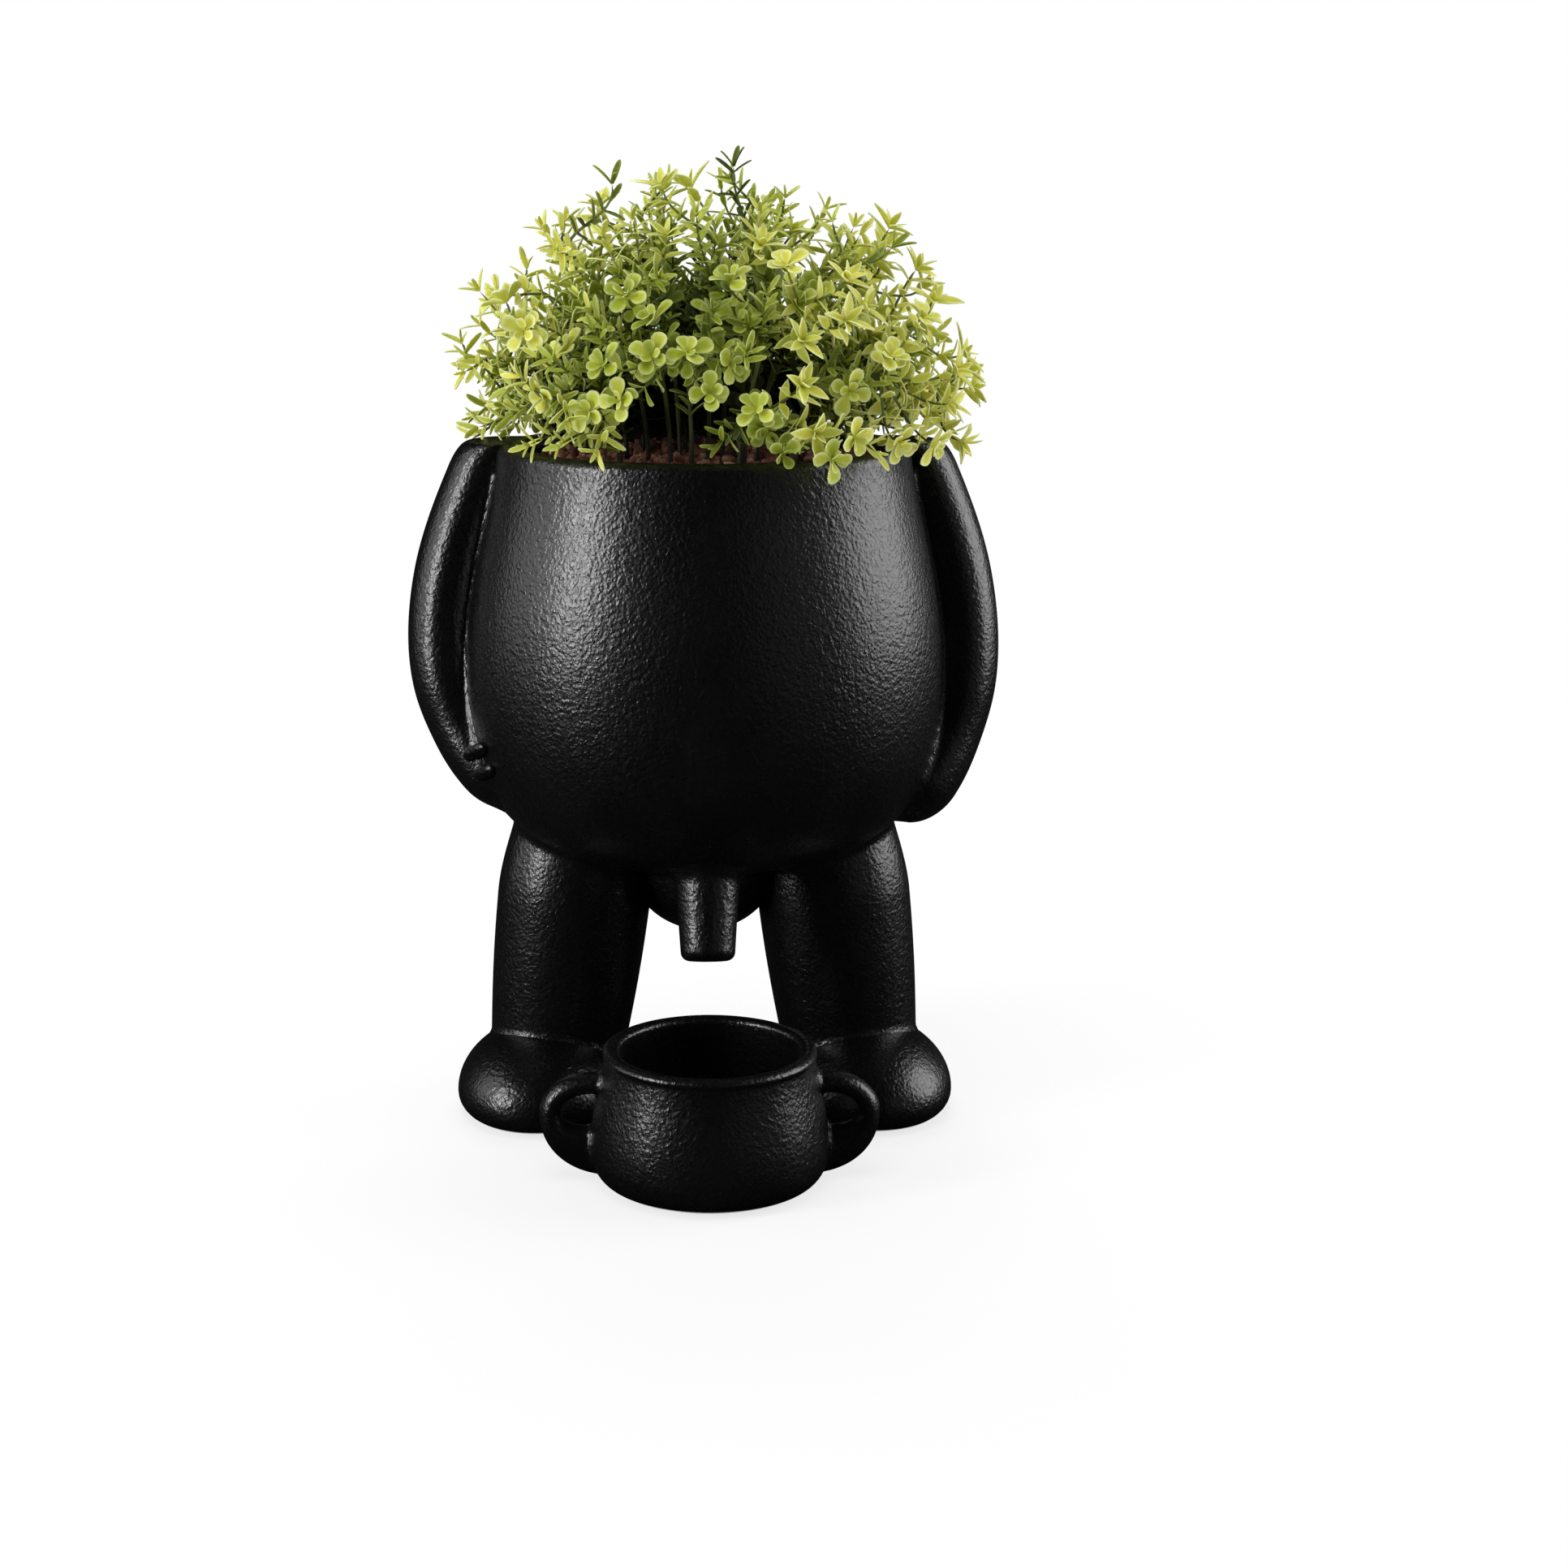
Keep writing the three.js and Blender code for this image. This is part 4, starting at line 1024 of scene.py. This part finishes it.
def stemShoots(path):  # the side shoots of the solid sprig, each as a path of its own
    shape = foliageShape
    total = pathLength(path)
    tip = path[-1] - domeFoot
    sideways = Vector((-tip.y, tip.x, 0)).normalized()
    shoots = []
    for k, ring in enumerate(shape["shootRings"]):
        foot, tangent = pathAt(path, total * (0.5 - math.cos(math.pi * ring / shape["rings"]) / 2))
        side = Matrix.Rotation((k + 0.5) * goldenAngle, 3, tangent) @ sideways
        hinge = tangent.cross(side).normalized()
        outward = Matrix.Rotation(math.radians(shape["shootSpread"]), 3, hinge) @ tangent
        length = shape["shootLength"]
        while length > shape["shortest"] and crownRadius(foot + outward * length - domeFoot) > 1:
            length -= 1 * mm
        end = foot + outward * length
        shoots.append(bezier(shape["shootSteps"], foot, foot + tangent * 2 * mm,
                             end - outward * 0.5 * length, end))
    return shoots


def planShoots():
    shape, inner = crownShape, innerShape
    draw = random.Random(shape["seed"])
    leads = [(kind, Vector(place) * mm) for kind, place in leadShoots]
    plan = list(leads)
    lowest = math.sin(math.radians(shape["lowest"]))
    for k in range(shape["shoots"]):
        up = lerp(lowest, 1, (k + 0.5) / shape["shoots"])
        flat = math.sqrt(1 - up * up)
        turn = k * goldenAngle + draw.gauss(0, shape["turnScatter"])
        wide = shape["left"] if math.cos(turn) < 0 else shape["right"]
        place = Vector((wide * flat * math.cos(turn), shape["depth"] * flat * math.sin(turn),
                        shape["height"] * up))
        place *= draw.uniform(shape["inner"], shape["outer"])
        inLine = shape["openingX"][0] < place.x < shape["openingX"][1]
        atOpening = inLine and place.y < shape["openingY"] and place.z < shape["openingTop"]
        crowded = min((place - spot).length for _, spot in leads) < shape["room"]
        if not atOpening and not crowded:
            plan.append((kindAt(place, draw), place))
    # the inner and deep kinds are leaves painted dark, standing in for shade inside the crown
    for k in range(inner["count"]):
        turn = k * goldenAngle
        reach = math.sqrt((k + 0.5) / inner["count"]) * inner["reach"]
        place = Vector((shape["left"] * reach * math.cos(turn), shape["depth"] * reach * math.sin(turn), 0))
        place.z = draw.uniform(*inner["z"]) * mm
        if place.y > inner["front"] * mm or abs(place.x) > inner["sides"] * mm:
            plan.append(("inner", place))
    for low in lowGrowth:
        for _ in range(low["count"]):
            place = Vector([draw.uniform(*low[axis]) for axis in "xyz"])
            plan.append(("deep", place * mm))
    return plan


sprigPaths = [stemPath(i) for i in range(foliageShape["sprigs"])]
shootsOf = {i: [] for i in range(foliageShape["sprigs"])}
for kindName, place in planShoots():
    nearest = min(shootsOf, key=lambda i: (sprigPaths[i][-1] - domeFoot - place).length)
    shootsOf[nearest].append((kindName, place))

# low twigs arch over the rim and high ones rise
twigHeading = {"low": -0.3, "high": 0.45, "levels": (-5 * mm, 14 * mm), "rootPull": 0.35, "endPull": 0.4,
               "firstRoot": 5, "beforeTip": 2}


def twigPath(path, place, length):  # the first of a few lifted paths that is clear of the pot
    way = twigHeading
    directions = tangents(path)
    roots = range(way["firstRoot"], len(path) - way["beforeTip"])
    upward = lerp(way["low"], way["high"], ease(*way["levels"], place.z))
    heading = place.normalized() + Vector((0, 0, upward))
    for lift in range(foliageShape["twigLifts"]):
        target = domeFoot + place + Vector((0, 0, lift * mm))
        root = min(roots, key=lambda j: abs((path[j] - target).length - length))
        foot, tangent = path[root], directions[root]
        run = (target - foot).length
        points = bezier(foliageShape["twigSteps"], foot, foot + tangent * run * way["rootPull"],
                        target - heading.normalized() * run * way["endPull"], target)
        if all(clearOfPot(point) for point in points):
            return points
    return None


# painted light and shade: leaves are painted brighter at the sides and the top, and painted darker inside the
# crown
paintedLightShape = {"sides": 0.36, "sideSpan": (8 * mm, 36 * mm), "top": 0.21, "topSpan": (20 * mm, 40 * mm),
            "base": -0.06, "shade": 0.95, "shadeFrom": 0.95, "scatter": 0.08}


def makeSprig(i):
    shape, sun = foliageShape, paintedLightShape
    draw = random.Random(shape["seed"] * 100 + i)
    path = sprigPaths[i]
    stems = bmesh.new()
    leaves = bmesh.new()
    for layer in leafLayers:
        leaves.verts.layers.float.new(layer)

    def grow(points, thick, kindName, place):
        # painted shade deep in the crown, and painted light at the sides and the top, added to each leaf's
        # tone
        depth = max(0, sun["shadeFrom"] - crownRadius(place))
        paintedLight = sun["sides"] * ease(*sun["sideSpan"], abs(place.x))
        paintedLight += sun["top"] * ease(*sun["topSpan"], place.z) + sun["base"]
        shade = draw.gauss(0, sun["scatter"]) + paintedLight - sun["shade"] * depth
        growShoot(stems, leaves, points, thick, kindName, draw, shade)

    tip = path[-1] - domeFoot
    grow(path, shape["stemRadius"], kindAt(tip, draw), tip)
    for points in stemShoots(path):
        end = points[-1] - domeFoot
        grow(points, shape["twigRadius"], kindAt(end, draw), end)
    for kindName, place in shootsOf[i]:
        points = twigPath(path, place, shootKinds[kindName]["twig"])
        if points:
            grow(points, shape["twigRadius"], kindName, place)
    for face in stems.faces:
        face.material_index = 1
    stemMesh = meshFrom("stems", stems)
    leaves.from_mesh(stemMesh)
    bpy.data.meshes.remove(stemMesh)
    number = "%02d" % (i + 1)
    piece = finishPiece("sprig" + number, leaves, "plant", "foliage", "sprig_" + number, leafGreen, stemGreen)
    piece.data.set_sharp_from_angle(angle=math.radians(shape["sharp"]))
    return piece


leafFaces = sum(len(makeSprig(i).data.polygons) for i in range(foliageShape["sprigs"]))
for mesh in leafMeshes.values():
    bpy.data.meshes.remove(mesh)
print("foliage made of", leafFaces, "faces")

# floor, light and camera

studio = {"floorRadius": 30, "floorTurns": 64, "floorNear": 0.08, "floorFar": 0.5, "floorLift": 0.75,
          "floorColour": (0.92, 0.92, 0.92), "floorRough": 0.9, "floorSpecular": 0.1, "ambient": 0.2,
          "tentRadius": 1.6, "tentFoot": 1 * mm, "tentColour": (0.01, 0.01, 0.01), "lampAim": 0.09}


def seenRays(tree):  # the rays that show the white of the set
    rays = addNode(tree, "ShaderNodeLightPath").outputs
    pair = addMath(tree, "MAXIMUM", rays["Is Camera Ray"], rays["Is Glossy Ray"])
    return addMath(tree, "MAXIMUM", pair, rays["Is Transmission Ray"])


def makeFloor():
    bm = bmesh.new()
    bmesh.ops.create_circle(bm, cap_ends=True, segments=studio["floorTurns"], radius=studio["floorRadius"])
    mesh = meshFrom("floor", bm)
    floor = addObject("floor", mesh)
    material, tree = newMaterial("paperWhite")
    paper = tree.nodes["Principled BSDF"]
    feed(tree, paper, {"Base Color": (*studio["floorColour"], 1), "Roughness": studio["floorRough"],
                       "Specular IOR Level": studio["floorSpecular"]})
    place = addNode(tree, "ShaderNodeTexCoord").outputs["Object"]
    distance = addNode(tree, "ShaderNodeVectorMath", {0: place}, operation="LENGTH").outputs["Value"]
    far = addRange(tree, distance, studio["floorNear"], studio["floorFar"], studio["floorLift"], 1)
    shown = addMath(tree, "MULTIPLY", far, seenRays(tree))
    glow = addNode(tree, "ShaderNodeEmission").outputs["Emission"]
    mix = addNode(tree, "ShaderNodeMixShader", {"Fac": shown, 1: paper.outputs["BSDF"], 2: glow})
    feed(tree, tree.nodes["Material Output"], {"Surface": mix.outputs["Shader"]})
    mesh.materials.append(material)


def makeWorld():
    world = bpy.data.worlds.new("studio")
    scene.world = world
    world.use_nodes = True
    tree = world.node_tree
    strength = addRange(tree, seenRays(tree), 0, 1, studio["ambient"], 1)
    feed(tree, tree.nodes["Background"], {"Color": (1, 1, 1, 1), "Strength": strength})


def makeTent():  # a black tent round the set, met by reflections only, keeps the glaze dark
    bm = bmesh.new()
    bmesh.ops.create_uvsphere(bm, u_segments=48, v_segments=24, radius=studio["tentRadius"])
    cut = bmesh.ops.bisect_plane(bm, geom=bm.verts[:] + bm.edges[:] + bm.faces[:], dist=0.1 * mm,
                                 plane_co=(0, 0, 0), plane_no=(0, 0, -1), clear_outer=True)["geom_cut"]
    bmesh.ops.edgeloop_fill(bm, edges=[part for part in cut if isinstance(part, bmesh.types.BMEdge)])
    bmesh.ops.translate(bm, verts=bm.verts[:], vec=(0, 0, studio["tentFoot"]))
    mesh = meshFrom("blackTent", bm)
    tent = addObject("blackTent", mesh)
    material, tree = newMaterial("tentBlack")
    black = {"Base Color": (*studio["tentColour"], 1), "Specular IOR Level": 0}
    feed(tree, tree.nodes["Principled BSDF"], black)
    mesh.materials.append(material)
    for rays in ("camera", "diffuse", "shadow", "transmission"):
        setattr(tent, "visible_" + rays, False)


# azimuth 0 is the camera's side and right is positive; sizes and distances in metres, glow is radiance
boxFields = ("azimuth", "elevation", "distance", "size", "glow", "mirrored")
softboxes = {
    "keyBox": (-64, 17, 0.8, (0.15, 0.46), 14.5, True),
    "leftBox": (-97, 20, 0.9, (0.4, 0.7), 1.2, True),
    "rightBox": (98, 20, 0.9, (0.7, 0.75), 3.1, True),
    "frontBox": (42, 8, 0.9, (0.6, 0.8), 0.08, True),
    "topBox": (-20, 70, 0.95, (0.7, 0.7), 2.5, False),
    "backBox": (180, 48, 0.95, (0.8, 0.5), 4, False),
}
cameraView = {"imageSide": 1932, "focalPixels": 3350, "axisPixel": (867.5, 842), "sensor": 36,
              "nearest": 0.01, "distance": 508 * mm, "azimuth": -1.3, "elevation": 11, "aimLevel": 80 * mm}


def standRound(thing, view, level):  # puts a lamp or the camera round the axis, facing it at this level
    turn, rise = math.radians(view["azimuth"]), math.radians(view["elevation"])
    away = Vector((math.sin(turn) * math.cos(rise), -math.cos(turn) * math.cos(rise), math.sin(rise)))
    thing.location = Vector((0, axisY, level)) + away * view["distance"]
    thing.rotation_euler = away.to_track_quat("Z", "Y").to_euler()


def makeSoftbox(name, box):
    light = bpy.data.lights.new(name, "AREA")
    light.shape = "RECTANGLE"
    light.size, light.size_y = box["size"]
    light.energy = box["glow"] * math.pi * box["size"][0] * box["size"][1]
    lamp = addObject(name, light)
    lamp.visible_glossy = box["mirrored"]
    standRound(lamp, box, studio["lampAim"])


def makeCamera():
    view = cameraView
    data = bpy.data.cameras.new("photoCamera")
    data.sensor_width = view["sensor"]
    data.lens = data.sensor_width * view["focalPixels"] / view["imageSide"]
    data.shift_x = 0.5 - view["axisPixel"][0] / view["imageSide"]
    data.shift_y = view["axisPixel"][1] / view["imageSide"] - 0.5
    data.clip_start = view["nearest"]
    camera = addObject("photoCamera", data)
    standRound(camera, view, view["aimLevel"])
    scene.camera = camera


makeFloor()
makeWorld()
makeTent()
for name, row in softboxes.items():
    makeSoftbox(name, dict(zip(boxFields, row)))
makeCamera()
print("studio made")
